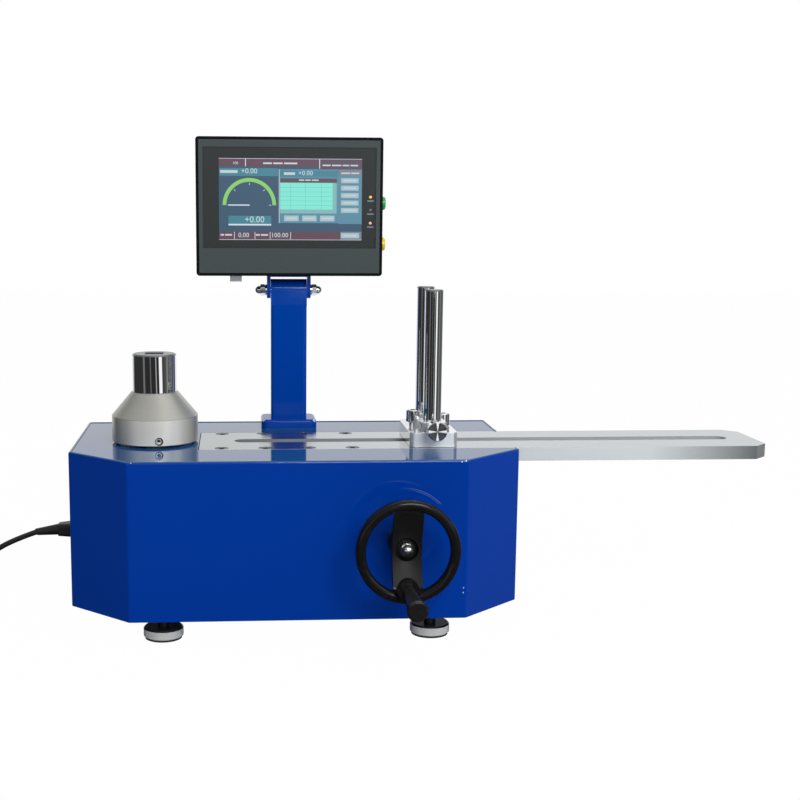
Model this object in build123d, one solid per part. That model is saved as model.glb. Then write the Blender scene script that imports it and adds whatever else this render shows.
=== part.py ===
from build123d import *
import math
import os

os.makedirs("parts", exist_ok=True)

# All lengths are in millimetres. X runs along the arm, Y to the back, Z up.
# The pieces are laid out from the middle of the casing, at table height, and then
# shifted so that the origin is under the middle of the whole instrument.

# Clearances
running_gap = 0.05
seat_gap = 0.02
body_gap = 0.3
trim_gap = 0.8

# Casing
body_width = 460.0
body_height = 160.6
corner_cut_x = 63.0
corner_cut_y = 60.0
sheet = 3.0
bend_radius = 4.0
rim_bend = 2.2
ledge_width = 12.0
cover_sheet = 3.0
rim_stand = 0.6
plate_thickness = 20.0

# Levelling feet
foot_height = 24.0
foot_inset_x = 95.0
foot_inset_y = 28.0
foot_radius = 20.0
foot_disc = 10.0
foot_pad = 2.0
foot_stud_radius = 6.0
foot_stud_reach = 16.0
jam_nut_flats = 19.0
jam_nut_height = 6.0

# Slotted arm
arm_gap = 2.0
arm_length = 598.0
arm_width = 104.0
arm_thickness = 14.0
arm_y = -4.0
arm_corner = 14.5
arm_left_radius = 2.0
slot_start = 36.3
slot_end = 28.7
slot_width = 20.0
arm_screw_first = 23.0
arm_screw_pitch = 45.0
arm_screw_edge = 8.0
cap_head_radius = 6.5
cap_head_height = 8.0
cap_shank_radius = 4.0
cap_shank_length = 12.0
cap_hex = 6.0
cap_hex_depth = 4.0
channel_width = 44.0

# Output axis and worm gear
output_inset = 84.0
drive_clearance = 5.2322
output_radius = 15.0
shaft_rise = 80.5
module = 2.5
wheel_teeth = 40
wheel_face = 18.0
wheel_web = 10.0
hub_radius = 25.0
hub_length = 33.0
worm_pitch_radius = 16.0
worm_length = 34.0
backlash = 0.2
worm_shaft_radius = 8.0
bush_radius = 11.0
pedestal_width = 14.0
pedestal_foot = 46.0
pedestal_radius = 18.0
frame_base = 10.0
collar_radius = 13.0
collar_width = 8.0
key_width = 8.0
key_height = 7.0
key_length = 28.0
lower_bearing_radius = 27.5
lower_bearing_width = 13.0
upper_bearing_radius = 31.0
upper_bearing_width = 16.0
bearing_boss_radius = 37.0
bearing_boss_height = 24.0

# Mitre gears
mitre_teeth = 20
mitre_module = 2.0
mitre_face = 8.0
mitre_hub_radius = 14.0
mitre_hub_length = 12.0

# Handwheel
wheel_inset = 65.0
wheel_shaft_radius = 7.0
bearing_flange_edge = 2.0
bearing_flange = 6.0
bearing_sleeve_radius = 13.0
bearing_sleeve_length = 16.0
handwheel_radius = 50.7
rim_width = 10.0
rim_depth = 13.0
rim_middle = 38.5
web_width = 28.5
web_thickness = 8.0
wheel_hub_radius = 15.0
wheel_hub_length = 30.0
recess_radius = 11.3
recess_depth = 8.0
handle_circle = 37.0
handle_boss_radius = 11.0
spindle_radius = 4.0
spindle_hex = 20.0
spindle_collar = 5.0
grip_length = 60.0
grip_small = 6.5
grip_large = 10.2
grip_gap = 1.0
dome_nut_flats = 13.0
dome_nut_height = 15.0
nut_washer = 1.6

# Torque transducer
housing_radius = 45.0
housing_skirt = 27.0
housing_height = 51.5
housing_wall = 4.0
housing_stand = 2.0
housing_neck = 24.5
flange_radius = 38.0
flange_thickness = 8.0
flange_screw_circle = 30.0
flange_screws = 6
coupling_screw_radius = 3.0
coupling_head_radius = 5.0
coupling_head_height = 6.0
coupling_hex = 5.0
column_radius = 17.0
column_flat = 28.0
column_boss = 20.0
column_boss_height = 11.5
adapter_radius = 23.0
adapter_height = 40.0
adapter_chamfer = 1.5
drive_square = 19.05
drive_depth = 25.0
adapter_screw_radius = 4.0
grub_radius = 4.2
grub_hex = 4.0
grub_sink = 0.5
grub_rise = 5.2
grub_angle = 8.2

# Sliding carriage with the reaction posts
carriage_place = 242.5
carriage_width = 50.0
carriage_edge = 5.0
carriage_base = 15.0
carriage_corner = 7.0
boss_edge = 2.0
boss_corner = 3.0
post_radius = 9.5
post_spigot = 8.0
post_height = 136.0
boss_width = 26.0
boss_depth = 30.0
boss_height = 10.6
clamp_spacing = 32.0
clamp_head_radius = 7.5
clamp_head_height = 13.0
clamp_shank_radius = 4.0
clamp_raise = 4.0
knob_radius = 10.0
knob_length = 14.0
knob_reach = 10.0
knob_shank_radius = 3.0
knob_rise = 4.6
pin_radius = 2.9
pin_height = 15.6
slot_nut_length = 38.0
slot_nut_gap = 3.0
slot_nut_thickness = 8.0
tongue_length = 36.0
tongue_drop = 5.0
pin_left = 16.3
pin_front = 3.0
post_foot = 3.0
post_chamfer = 1.2

# Display and its post
stand_x = -1.5
stand_gap = 22.0
stand_inset = 5.0
stand_width = 40.0
stand_depth = 30.0
stand_wall = 3.0
stand_flange_width = 62.0
stand_flange_depth = 50.0
stand_flange = 10.5
stand_corner = 8.0
stand_rounding = 3.5
stand_skin = 2.0
stand_screw_radius = 3.0
stand_screw_head = 5.25
stand_screw_head_height = 6.0
stand_screw_hex = 5.0
stand_screw_inset = 5.5
stand_screw_pitch = 18.0
hinge_rise = 154.0
hinge_radius = 4.0
hinge_nut_flats = 11.0
dome_nut_length = 11.4
stand_head_drop = 16.0
stand_head_radius = 12.3
stand_edge = 4.0
bracket_corner = 7.0
bracket_wall = 4.0
bracket_drop = 9.0
bracket_depth = 26.0
display_rise = 17.0
display_offset = 33.0
bezel_side = 7.5
bezel_above = 11.0
bezel_below = 30.0
bezel_depth = 8.0
bezel_corner = 3.5
case_depth = 34.0
case_inset = 2.0
case_wall = 2.5
glass_width = 188.0
glass_height = 108.0
glass_thickness = 1.8
glass_sink = 1.0
glass_lip = 3.0
panel_margin = 4.5
panel_thickness = 6.0
board_stand = 4.0
board_stand_radius = 2.5
board_stand_inset = 6.0
chips = 3
chip_size = 18.0
chip_height = 3.0
chip_inset = 28.5
chip_drop = 42.0
light_strip = 6.0
light_inset = 6.0
light_drop = 52.5
case_rounding = 5.0
vent_slots = 13
vent_pitch = 7.0
vent_length = 16.0
vent_width = 3.0
vent_inset = 24.0
data_left = 36.4
data_width = 12.9
data_depth = 12.0
data_drop = 9.0
data_back = 8.0
data_nose_width = 9.0
data_nose_depth = 5.0
data_nose_length = 6.0
screen_inset_left = 17.5
screen_inset_right = 15.5
screen_inset_top = 12.0
screen_inset_bottom = 9.0
light_radius = 1.5
light_pitch = 14.0
side_button_radius = 7.2
side_button_out = 5.0
button_back = 14.0
button_depth = 10.0
sleeve_wall = 1.5
sleeve_flange = 1.4
upper_button_rise = 79.0
lower_button_rise = 34.5
board_thickness = 1.6

# Power inlet and lead
inlet_inset = 60.0
inlet_z = 74.0
inlet_pin_spread = 7.0
inlet_pin_drop = 2.0
inlet_pin_width = 2.0
inlet_pin_height = 4.0
inlet_flange = 2.0
inlet_cavity_width = 25.0
inlet_cavity_height = 17.0
inlet_cavity_depth = 15.0
inlet_wall = 2.0
inlet_back = 3.0
inlet_margin = 4.0
cord_radius = 3.0
connector_length = 27.0
connector_end_width = 17.0
connector_end_height = 13.5
connector_neck = 6.2
relief_length = 28.0
coil_radius = 33.0
coil_width = 18.0
coil_height = 12.0
coil_stand = 0.3
plug_start = 21.0
plug_length = 32.0
plug_width = 32.0
plug_height = 26.0
plug_neck_width = 17.0
plug_neck_height = 15.0
plug_corner = 6.0
blade_length = 17.0
blade_thickness = 1.6
blade_width = 6.3
blade_spread = 6.5
blade_rise = 5.0
blade_fall = 6.0

# Electronics inside the casing
supply_width = 110.0
supply_depth = 50.0
supply_height = 32.0
supply_inset_x = 90.0
supply_inset_y = 70.0
supply_stand = 2.0
supply_foot_radius = 4.0
supply_foot_inset = 8.0
signal_width = 90.0
signal_depth = 40.0
signal_gap = 20.0
signal_inset = 34.0
signal_stand = 8.0
signal_stand_radius = 3.0
signal_stand_inset = 5.0
signal_chip_width = 14.0

# Levels and places that follow from the sizes above
left_x = -body_width / 2
right_x = body_width / 2
output_x = left_x + output_inset
arm_left = output_x + housing_radius + arm_gap
slot_length = arm_length - slot_start - slot_end
wheel_x = right_x - corner_cut_x - wheel_inset
carriage_x = arm_left + carriage_place
carriage_depth = arm_width - 2 * carriage_edge
post_spacing = carriage_depth - boss_depth - 2 * boss_edge
body_bottom = foot_height
body_top = body_bottom + body_height
plate_top = body_top - rim_stand
plate_bottom = plate_top - plate_thickness
arm_bottom = plate_top - arm_thickness
arm_right = arm_left + arm_length
floor_top = body_bottom + cover_sheet
shaft_z = body_bottom + shaft_rise
frame_top = floor_top + frame_base
wheel_pitch_radius = module * wheel_teeth / 2
worm_y = arm_y - wheel_pitch_radius - worm_pitch_radius
mitre_pitch_radius = mitre_module * mitre_teeth / 2
mitre_cone = mitre_pitch_radius * math.sqrt(2)
mitre_inner = (mitre_cone - mitre_face) / mitre_cone
mitre_root_drop = 1.25 * mitre_module / math.sqrt(2)

# The casing is as deep as the drive in front of the arm and the display's post behind it need
mitre_reach = mitre_pitch_radius + mitre_root_drop + mitre_hub_length
front_y = worm_y - mitre_reach - drive_clearance - bearing_sleeve_length
stand_y = arm_y + arm_width / 2 + stand_gap + stand_flange_depth / 2
back_y = stand_y + stand_flange_depth / 2 + stand_inset
inlet_y = back_y - inlet_inset
supply_x = right_x - supply_inset_x
supply_y = back_y - supply_inset_y
signal_x = supply_x - supply_width / 2 - signal_gap - signal_width / 2
signal_y = back_y - signal_inset

hinge_z = plate_top + hinge_rise
display_width = glass_width + 2 * bezel_side
display_height = glass_height + bezel_above + bezel_below
display_front = stand_y - display_offset
display_bottom = hinge_z + display_rise
display_left = stand_x - display_width / 2
screen_width = glass_width - screen_inset_left - screen_inset_right
screen_height = glass_height - screen_inset_top - screen_inset_bottom
screen_left = bezel_side + screen_inset_left
screen_top = bezel_above + screen_inset_top
light_left = bezel_side + glass_width - light_inset
light_top = bezel_above + light_drop
glass_face = display_front + glass_sink
housing_bottom = plate_top + housing_stand
shaft_flange_bottom = housing_bottom + 0.4
column_bottom = shaft_flange_bottom + flange_thickness
housing_top = housing_bottom + housing_height
carriage_bottom = plate_top + body_gap
carriage_top = carriage_bottom + carriage_base
post_bottom = carriage_bottom + post_foot
knob_z = carriage_top + knob_rise
button_y = display_front + bezel_depth + button_back
hub_back_y = front_y - bearing_flange - 0.5
shaft_seat = wheel_hub_length - recess_depth - 4.0
spindle_front = rim_middle + rim_depth / 2 + 0.5
handle_end_y = hub_back_y - spindle_front - spindle_collar - grip_gap - grip_length

# Middle of the whole instrument, measured without the power lead
origin_x = (left_x - inlet_flange + arm_right) / 2
origin_y = (back_y + handle_end_y) / 2

AXIS = {"x": (1, 0, 0), "-x": (-1, 0, 0), "y": (0, 1, 0), "-y": (0, -1, 0), "z": (0, 0, 1), "-z": (0, 0, -1)}


def save(name, shape):
    moved = Pos(-origin_x, -origin_y, 0) * shape
    export_step(moved, f"parts/{name}.step")


def rod(start, direction, radius, length):
    return extrude(Plane(origin=start, z_dir=AXIS[direction]) * Circle(radius), length)


def tube(start, direction, outer, inner, length):
    ring = Circle(outer) - Circle(inner)
    return extrude(Plane(origin=start, z_dir=AXIS[direction]) * ring, length)


def hexagon(start, direction, flats, length):
    outline = RegularPolygon(flats / 2, 6, major_radius=False)
    return extrude(Plane(origin=start, z_dir=AXIS[direction]) * outline, length)


def block(x0, x1, y0, y1, z0, z1):
    middle = Pos((x0 + x1) / 2, (y0 + y1) / 2, (z0 + z1) / 2)
    return middle * Box(x1 - x0, y1 - y0, z1 - z0)


def turned(start, direction, profile):
    face = make_face(Plane.XZ * Polyline(*profile, close=True))
    return Plane(origin=start, z_dir=AXIS[direction]) * revolve(face, Axis.Z)


def group(pieces):
    return Compound([solid for piece in pieces for solid in piece.solids()])


# Outline of the casing from above, moved in by inset
def plan(inset):
    corners = [(left_x, back_y), (left_x, front_y + corner_cut_y), (left_x + corner_cut_x, front_y),
               (right_x - corner_cut_x, front_y), (right_x, front_y + corner_cut_y), (right_x, back_y)]
    outline = make_face(Polyline(*corners, close=True))
    if inset:
        outline = offset(outline, -inset, kind=Kind.INTERSECTION)
    return fillet(outline.vertices(), max(bend_radius - inset, 0.8))


def slab(outline, bottom, height):
    return extrude(Pos(0, 0, bottom) * outline, height)


def feet_places():
    return [(x, y) for x in (left_x + foot_inset_x, right_x - foot_inset_x)
            for y in (front_y + foot_inset_y, back_y - foot_inset_y)]


# The slot nut's way out: a channel under the arm's slot, open at the right
def channel():
    start = arm_left + slot_start - slot_width
    half = channel_width / 2
    return block(start, right_x + sheet, arm_y - half, arm_y + half, plate_bottom - 2 * sheet, plate_top)


def chassis_shell():
    wall = slab(plan(0) - plan(sheet), body_bottom, body_height)
    rim = wall.faces().sort_by(Axis.Z)[-1].outer_wire().edges()
    wall = fillet(rim, rim_bend)
    ledge = plan(sheet) - plan(sheet + ledge_width)
    wall += slab(ledge, plate_bottom - sheet, sheet)
    wall += slab(ledge, floor_top, sheet)
    notch = arm_width / 2 + trim_gap
    wall -= block(0, right_x + 1, arm_y - notch, arm_y + notch, arm_bottom - body_gap, body_top + 1)
    wall -= channel()
    wall -= rod((wheel_x, front_y - 1, shaft_z), "y", bearing_sleeve_radius + seat_gap, sheet + 2)
    half_w = inlet_cavity_width / 2 + inlet_wall + seat_gap
    half_h = inlet_cavity_height / 2 + inlet_wall + seat_gap
    wall -= block(left_x - 1, left_x + sheet + 1, inlet_y - half_w, inlet_y + half_w,
                  inlet_z - half_h, inlet_z + half_h)
    return wall


def bottom_cover():
    cover = slab(plan(sheet + body_gap), body_bottom, cover_sheet)
    for x, y in feet_places():
        cover -= rod((x, y, body_bottom - 1), "z", foot_stud_radius + running_gap, cover_sheet + 2)
    return cover


def arm_outline(grow):
    right = arm_left + arm_length
    low = arm_y - arm_width / 2
    high = arm_y + arm_width / 2
    corners = [(arm_left, low), (right - arm_corner, low), (right, low + arm_corner),
               (right, high - arm_corner), (right - arm_corner, high), (arm_left, high)]
    outline = make_face(Polyline(*corners, close=True))
    if grow:
        outline = offset(outline, grow, kind=Kind.INTERSECTION)
    left = outline.vertices().sort_by(Axis.X)[:2]
    return fillet(left, arm_left_radius + grow)


def arm_screw_places():
    edge = arm_width / 2 - arm_screw_edge
    first = arm_left + arm_screw_first
    return [(first + i * arm_screw_pitch, arm_y + side * edge) for side in (-1, 1) for i in range(4)]


def top_plate():
    plate = slab(plan(sheet + body_gap), plate_bottom, plate_thickness)
    plate -= slab(arm_outline(trim_gap), arm_bottom, arm_thickness + 1)
    plate -= channel()
    plate -= rod((output_x, arm_y, plate_bottom - 1), "z", upper_bearing_radius + seat_gap,
                 upper_bearing_width + 1)
    plate -= rod((output_x, arm_y, plate_bottom), "z", upper_bearing_radius - sheet, plate_thickness + 1)
    for x, y in arm_screw_places():
        plate -= rod((x, y, plate_bottom), "z", cap_shank_radius + seat_gap, plate_thickness)
    for x, y in stand_screw_places():
        plate -= rod((x, y, plate_bottom - 1), "z", stand_screw_radius + seat_gap, plate_thickness + 2)
    return plate


def slotted_arm():
    arm = slab(arm_outline(0), arm_bottom, arm_thickness)
    slot = SlotOverall(slot_length, slot_width)
    middle = arm_left + slot_start + slot_length / 2
    arm -= extrude(Pos(middle, arm_y, arm_bottom - 1) * slot, arm_thickness + 2)
    head_bottom = plate_top - cap_head_height - body_gap
    for x, y in arm_screw_places():
        arm -= rod((x, y, arm_bottom - 1), "z", cap_shank_radius + 0.5, arm_thickness + 2)
        arm -= rod((x, y, head_bottom), "z", cap_head_radius + 0.6, arm_thickness)
    return arm


# Socket-head cap screw with its head's underside at the given place
def cap_screw(x, y, z, head_radius, head_height, shank_radius, length, flats):
    screw = rod((x, y, z), "z", head_radius, head_height)
    screw += rod((x, y, z - length), "z", shank_radius, length)
    return screw - hexagon((x, y, z + head_height / 2), "z", flats, head_height)


def arm_screws():
    z = plate_top - cap_head_height - body_gap
    length = z - plate_bottom - 1
    return group(cap_screw(x, y, z, cap_head_radius, cap_head_height, cap_shank_radius, length, cap_hex)
                 for x, y in arm_screw_places())


# Levelling feet: turned disc on a threaded stud, with a rubber pad under it
def foot(x, y):
    disc_top = foot_pad + foot_disc
    disc = turned((x, y, foot_pad), "z", [(0, 0), (foot_radius - 1, 0), (foot_radius, 1),
                                         (foot_radius, foot_disc - 1.5), (foot_radius - 1.5, foot_disc),
                                         (0, foot_disc)])
    return disc + rod((x, y, disc_top - 1), "z", foot_stud_radius, foot_height - disc_top + foot_stud_reach)


def foot_pad_disc(x, y):
    return rod((x, y, 0), "z", foot_radius - 1.5, foot_pad)


def foot_jam_nuts():
    nuts = []
    for x, y in feet_places():
        nut = hexagon((x, y, floor_top), "z", jam_nut_flats, jam_nut_height)
        nuts.append(nut - rod((x, y, floor_top - 1), "z", foot_stud_radius + running_gap, jam_nut_height + 2))
    return group(nuts)


# Worm gear frame: a cast base with three pedestals and the lower bearing's boss
def pedestal_starts():
    reach = worm_length / 2 + collar_width + 5
    left = output_x - reach - pedestal_width
    right = output_x + reach
    by_mitre = wheel_x - mitre_pitch_radius - mitre_hub_length - collar_width - pedestal_width - 1
    return [left, right, by_mitre]


def pedestal(x):
    half = pedestal_foot / 2
    outline = Polyline((worm_y - half, frame_top - 1), (worm_y + half, frame_top - 1),
                       (worm_y + pedestal_radius, shaft_z),
                       (worm_y - pedestal_radius, shaft_z), close=True)
    web = extrude(Plane(origin=(x, 0, 0), x_dir=(0, 1, 0), z_dir=(1, 0, 0)) * make_face(outline), pedestal_width)
    return web + rod((x, worm_y, shaft_z), "x", pedestal_radius, pedestal_width)


def gear_frame():
    starts = pedestal_starts()
    margin = 8
    x0 = starts[0] - margin / 2
    x1 = starts[2] + pedestal_width + margin
    y0 = worm_y - pedestal_foot / 2
    y1 = arm_y + bearing_boss_radius + margin
    frame = block(x0, x1, y0, y1, floor_top, frame_top)
    frame = fillet(frame.edges().filter_by(Axis.Z), 6)
    frame &= slab(plan(sheet + ledge_width + 1), floor_top, frame_base)
    for x, y in feet_places():
        frame -= rod((x, y, floor_top - 1), "z", jam_nut_flats / math.sqrt(3) + 1.5, frame_base + 2)
    frame += rod((output_x, arm_y, frame_top), "z", bearing_boss_radius, bearing_boss_height)
    for x in starts:
        frame += pedestal(x)
    top = frame_top + bearing_boss_height
    frame -= rod((output_x, arm_y, top - lower_bearing_width), "z", lower_bearing_radius + seat_gap,
                 lower_bearing_width + 1)
    frame -= rod((output_x, arm_y, floor_top - 1), "z", output_radius + 2, frame_base + bearing_boss_height)
    return frame - rod((x0 - 1, worm_y, shaft_z), "x", bush_radius + seat_gap, x1 - x0 + 2)


# Deep-groove bearing: two rings with a shield recessed between them
def bearing(start, radius, width):
    inner = output_radius + running_gap
    ring = (radius - inner) * 0.28
    race = turned(start, "z", [(inner, 0), (inner + ring, 0), (inner + ring, 0.8), (radius - ring, 0.8),
                               (radius - ring, 0), (radius, 0), (radius, width), (radius - ring, width),
                               (radius - ring, width - 0.8), (inner + ring, width - 0.8),
                               (inner + ring, width), (inner, width)])
    return race


def worm_bushes():
    return group(tube((x, worm_y, shaft_z), "x", bush_radius, worm_shaft_radius + running_gap, pedestal_width)
                 for x in pedestal_starts())


# Collars that stop the worm shaft from sliding through its bushes
def worm_collars():
    starts = pedestal_starts()
    places = [starts[0] + pedestal_width + body_gap, starts[1] - collar_width - body_gap]
    return group(tube((x, worm_y, shaft_z), "x", collar_radius, worm_shaft_radius + seat_gap, collar_width)
                 for x in places)


# Single-start right-hand worm: a trapezoid thread swept along a helix onto the shaft
def worm_shaft():
    start = pedestal_starts()[0] - 2
    end = wheel_x - mitre_pitch_radius * mitre_inner
    shaft = rod((start, worm_y, shaft_z), "x", worm_shaft_radius, end - start)
    pitch = math.pi * module
    root = worm_pitch_radius - 1.2 * module
    core_start = output_x - worm_length / 2
    shaft += rod((core_start, worm_y, shaft_z), "x", root, worm_length)
    return shaft + Pos(output_x, worm_y, shaft_z) * Rot(0, 90, 0) * worm_thread(pitch, root)


# Worm thread about the Z axis, with its middle tooth centred on height 0 where it faces the wheel
def worm_thread(pitch, root):
    turns = math.floor((worm_length - 4) / pitch)
    height = turns * pitch
    path = Helix(pitch=pitch, height=height, radius=worm_pitch_radius)
    tan_flank = math.tan(math.radians(20))
    half = pitch / 4 - backlash
    low = -(worm_pitch_radius - root) - 0.4
    high = module
    section = Polyline((low, half - low * tan_flank), (high, half - high * tan_flank),
                       (high, -half + high * tan_flank), (low, -half + low * tan_flank), close=True)
    start = Plane(origin=path @ 0, x_dir=(1, 0, 0), z_dir=path % 0)
    thread = sweep(start * make_face(section), path=path, is_frenet=True)
    return Rot(0, 0, 90 - 180 * turns) * Pos(0, 0, -height / 2) * thread


# Worm wheel with teeth set over by the worm's lead angle
def worm_wheel():
    half = wheel_face / 2
    twist = math.degrees(module / (2 * worm_pitch_radius) * wheel_face / wheel_pitch_radius)
    bottom = Pos(0, 0, -half) * Rot(0, 0, -twist / 2) * tooth_ring()
    top = Pos(0, 0, half) * Rot(0, 0, twist / 2) * tooth_ring()
    wheel = loft([bottom.face(), top.face()], ruled=True)
    root = wheel_pitch_radius - 1.2 * module
    groove = (wheel_face - wheel_web) / 2
    for z in (-half, half - groove):
        wheel -= tube((0, 0, z), "z", root - 5, hub_radius, groove)
    for i in range(6):
        angle = math.radians(60 * i + 30)
        middle = (root - 5 + hub_radius) / 2
        wheel -= rod((middle * math.cos(angle), middle * math.sin(angle), -half), "z", 6.0, wheel_face)
    wheel += rod((0, 0, -hub_length / 2), "z", hub_radius, hub_length)
    wheel -= rod((0, 0, -hub_length), "z", output_radius + seat_gap, 2 * hub_length)
    wheel -= keyway(seat_gap)
    return Pos(output_x, arm_y, shaft_z) * wheel


# Outline of the wheel's teeth, with a tooth gap facing the worm
def tooth_ring():
    points = []
    root = wheel_pitch_radius - 1.2 * module
    tip = wheel_pitch_radius + module
    step = 360 / wheel_teeth
    for i in range(wheel_teeth):
        middle = -90 + (i + 0.5) * step
        for radius, side in ((root, -1), (wheel_pitch_radius, -1), (tip, -1), (tip, 1), (wheel_pitch_radius, 1),
                             (root, 1)):
            half = math.degrees(involute_half(radius) - backlash / radius)
            angle = math.radians(middle + side * half)
            points.append((radius * math.cos(angle), radius * math.sin(angle)))
    return make_face(Polyline(*points, close=True))


# Half of the angle that an involute tooth takes up at a radius
def involute_half(radius):
    base = wheel_pitch_radius * math.cos(math.radians(20))
    at_pitch = math.tan(math.radians(20)) - math.radians(20)
    angle = math.acos(min(base / radius, 1))
    return math.pi / (2 * wheel_teeth) + at_pitch - (math.tan(angle) - angle)


def keyway(grow):
    low = output_radius - key_height / 2
    return block(low - grow, low + key_height + grow, -key_width / 2 - grow, key_width / 2 + grow,
                 -hub_length, hub_length)


def wheel_key():
    low = output_radius - key_height / 2
    key = block(low, low + key_height, -key_width / 2, key_width / 2, -key_length / 2, key_length / 2)
    return Pos(output_x, arm_y, shaft_z) * key


def output_shaft():
    start = frame_top + 3
    length = shaft_flange_bottom - start
    shaft = rod((output_x, arm_y, start), "z", output_radius, length)
    shoulder = plate_bottom + upper_bearing_width + body_gap
    shaft += rod((output_x, arm_y, shoulder), "z", output_radius + 4, shaft_flange_bottom - shoulder)
    shaft += rod((output_x, arm_y, shaft_flange_bottom), "z", flange_radius, flange_thickness)
    seat = frame_top + bearing_boss_height + body_gap
    shaft += rod((output_x, arm_y, seat), "z", output_radius + 4, shaft_z - hub_length / 2 - seat)
    low = output_radius - key_height / 2
    slot = block(low - seat_gap, output_radius + 1, -key_width / 2 - seat_gap, key_width / 2 + seat_gap,
                 -key_length / 2 - seat_gap, key_length / 2 + seat_gap)
    shaft -= Pos(output_x, arm_y, shaft_z) * slot
    return shaft - flange_holes(shaft_flange_bottom)


# Straight-tooth mitre gear about the Z axis, with its cone's apex at the origin, above the gear
def mitre_gear(bore, turn):
    r = mitre_pitch_radius
    low = (r - mitre_root_drop, -r - mitre_root_drop)
    high = (low[0] * mitre_inner, low[1] * mitre_inner)
    cone = turned((0, 0, 0), "z", [(0, low[1]), low, high, (0, high[1])])
    cone += rod((0, 0, low[1] - mitre_hub_length), "z", mitre_hub_radius, mitre_hub_length)
    for i in range(mitre_teeth):
        cone += Rot(0, 0, turn + i * 360 / mitre_teeth) * mitre_tooth()
    return cone - rod((0, 0, -2 * r - mitre_hub_length), "z", bore, 2 * r + mitre_hub_length)


# One tapering tooth of the mitre gear
def mitre_tooth():
    m = mitre_module
    half = math.pi * m / 4 - backlash
    lean = math.tan(math.radians(22))
    slope = math.sqrt(0.5)
    ends = []
    for scale in (1.0, mitre_inner):
        centre = (mitre_pitch_radius * scale, 0, -mitre_pitch_radius * scale)
        plane = Plane(origin=centre, x_dir=(0, 1, 0), z_dir=(slope, 0, -slope))
        low = -1.25 * m - 0.3
        high = 0.9 * m
        points = [(half - low * lean, low), (half - high * lean, high), (high * lean - half, high),
                  (low * lean - half, low)]
        ends.append(plane * make_face(Polyline(*[(x * scale, y * scale) for x, y in points], close=True)))
    return loft(ends, ruled=True)


def mitre_drive():
    apex = Plane(origin=(wheel_x, worm_y, shaft_z), x_dir=(-1, 0, 0), z_dir=(0, 1, 0))
    return apex * mitre_gear(wheel_shaft_radius + seat_gap, 0)


def mitre_driven():
    apex = Plane(origin=(wheel_x, worm_y, shaft_z), x_dir=(0, -1, 0), z_dir=(1, 0, 0))
    return apex * mitre_gear(worm_shaft_radius + seat_gap, 180 / mitre_teeth)


# Handwheel, drawn about the Z axis with its hub's back face at height 0 and then stood on the panel
def on_wheel(shape):
    return Plane(origin=(wheel_x, hub_back_y, shaft_z), x_dir=(1, 0, 0), z_dir=(0, -1, 0)) * shape


def web_disc(low):
    middle = wheel_hub_length - web_thickness + low
    out = rim_middle - web_thickness / 2 + low
    edge = handwheel_radius - rim_width / 2
    return [(0, middle), (wheel_hub_radius - 3, middle), (edge - 8, out), (edge, out)]


def handwheel():
    rim = Pos(handwheel_radius - rim_width / 2, rim_middle) * RectangleRounded(rim_width, rim_depth, 4.5)
    wheel = revolve(Plane.XZ * rim, Axis.Z)
    profile = web_disc(0) + web_disc(web_thickness)[::-1]
    disc = revolve(make_face(Plane.XZ * Polyline(*profile, close=True)), Axis.Z)
    wheel += disc & block(-web_width / 2, web_width / 2, -handwheel_radius, handwheel_radius, 0, 2 * rim_middle)
    wheel += rod((0, 0, 0), "z", wheel_hub_radius, wheel_hub_length)
    wheel += rod((0, -handle_circle, spindle_front - 12), "z", handle_boss_radius, 12)
    wheel -= rod((0, 0, -1), "z", wheel_shaft_radius + seat_gap, shaft_seat + 1)
    wheel -= rod((0, 0, 0), "z", spindle_radius + seat_gap, wheel_hub_length)
    wheel -= rod((0, 0, wheel_hub_length - recess_depth), "z", recess_radius, 2 * rim_middle)
    wheel -= rod((0, -handle_circle, 0), "z", spindle_radius + seat_gap, 2 * rim_middle)
    return on_wheel(wheel)


def handwheel_shaft():
    inner_end = worm_y - mitre_pitch_radius * mitre_inner
    shaft = rod((wheel_x, hub_back_y - shaft_seat, shaft_z), "y", wheel_shaft_radius,
                inner_end - hub_back_y + shaft_seat)
    reach = wheel_hub_length - recess_depth + nut_washer + 8
    return shaft + rod((wheel_x, hub_back_y - reach, shaft_z), "y", spindle_radius, reach - shaft_seat + 1)


# Fixed flange bearing that guides the handwheel's shaft through the front panel
def wheel_bearing():
    face = front_y - bearing_flange
    edge = bearing_sleeve_radius + bearing_flange_edge
    flange = turned((wheel_x, face, shaft_z), "y",
                    [(wheel_shaft_radius + running_gap, 0), (edge - 1, 0), (edge, 1), (edge, bearing_flange),
                     (bearing_sleeve_radius, bearing_flange),
                     (bearing_sleeve_radius, bearing_flange + bearing_sleeve_length),
                     (wheel_shaft_radius + running_gap, bearing_flange + bearing_sleeve_length)])
    return flange


def dome_nut(flats, height, hole):
    corner = flats / math.sqrt(3)
    hexed = hexagon((0, 0, 0), "z", flats, height * 0.5)
    trim = turned((0, 0, 0), "z", [(0, 0), (corner - 0.9, 0), (corner, 0.9), (corner, height * 0.42),
                                   (flats / 2, height * 0.5), (0, height * 0.5)])
    crown = rod((0, 0, height * 0.4), "z", flats * 0.43, height * 0.17)
    dome = Pos(0, 0, height - flats * 0.43) * Sphere(flats * 0.43)
    nut = (hexed & trim) + crown + (dome & block(-flats, flats, -flats, flats, height * 0.5, height))
    return nut - rod((0, 0, -1), "z", hole, height * 0.6 + 1)


def wheel_nut():
    seat = wheel_hub_length - recess_depth
    washer = tube((0, 0, seat), "z", spindle_radius * 2.1, spindle_radius + seat_gap, nut_washer)
    nut = Pos(0, 0, seat + nut_washer) * dome_nut(dome_nut_flats, dome_nut_height, spindle_radius + seat_gap)
    return on_wheel(washer + nut)


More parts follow.
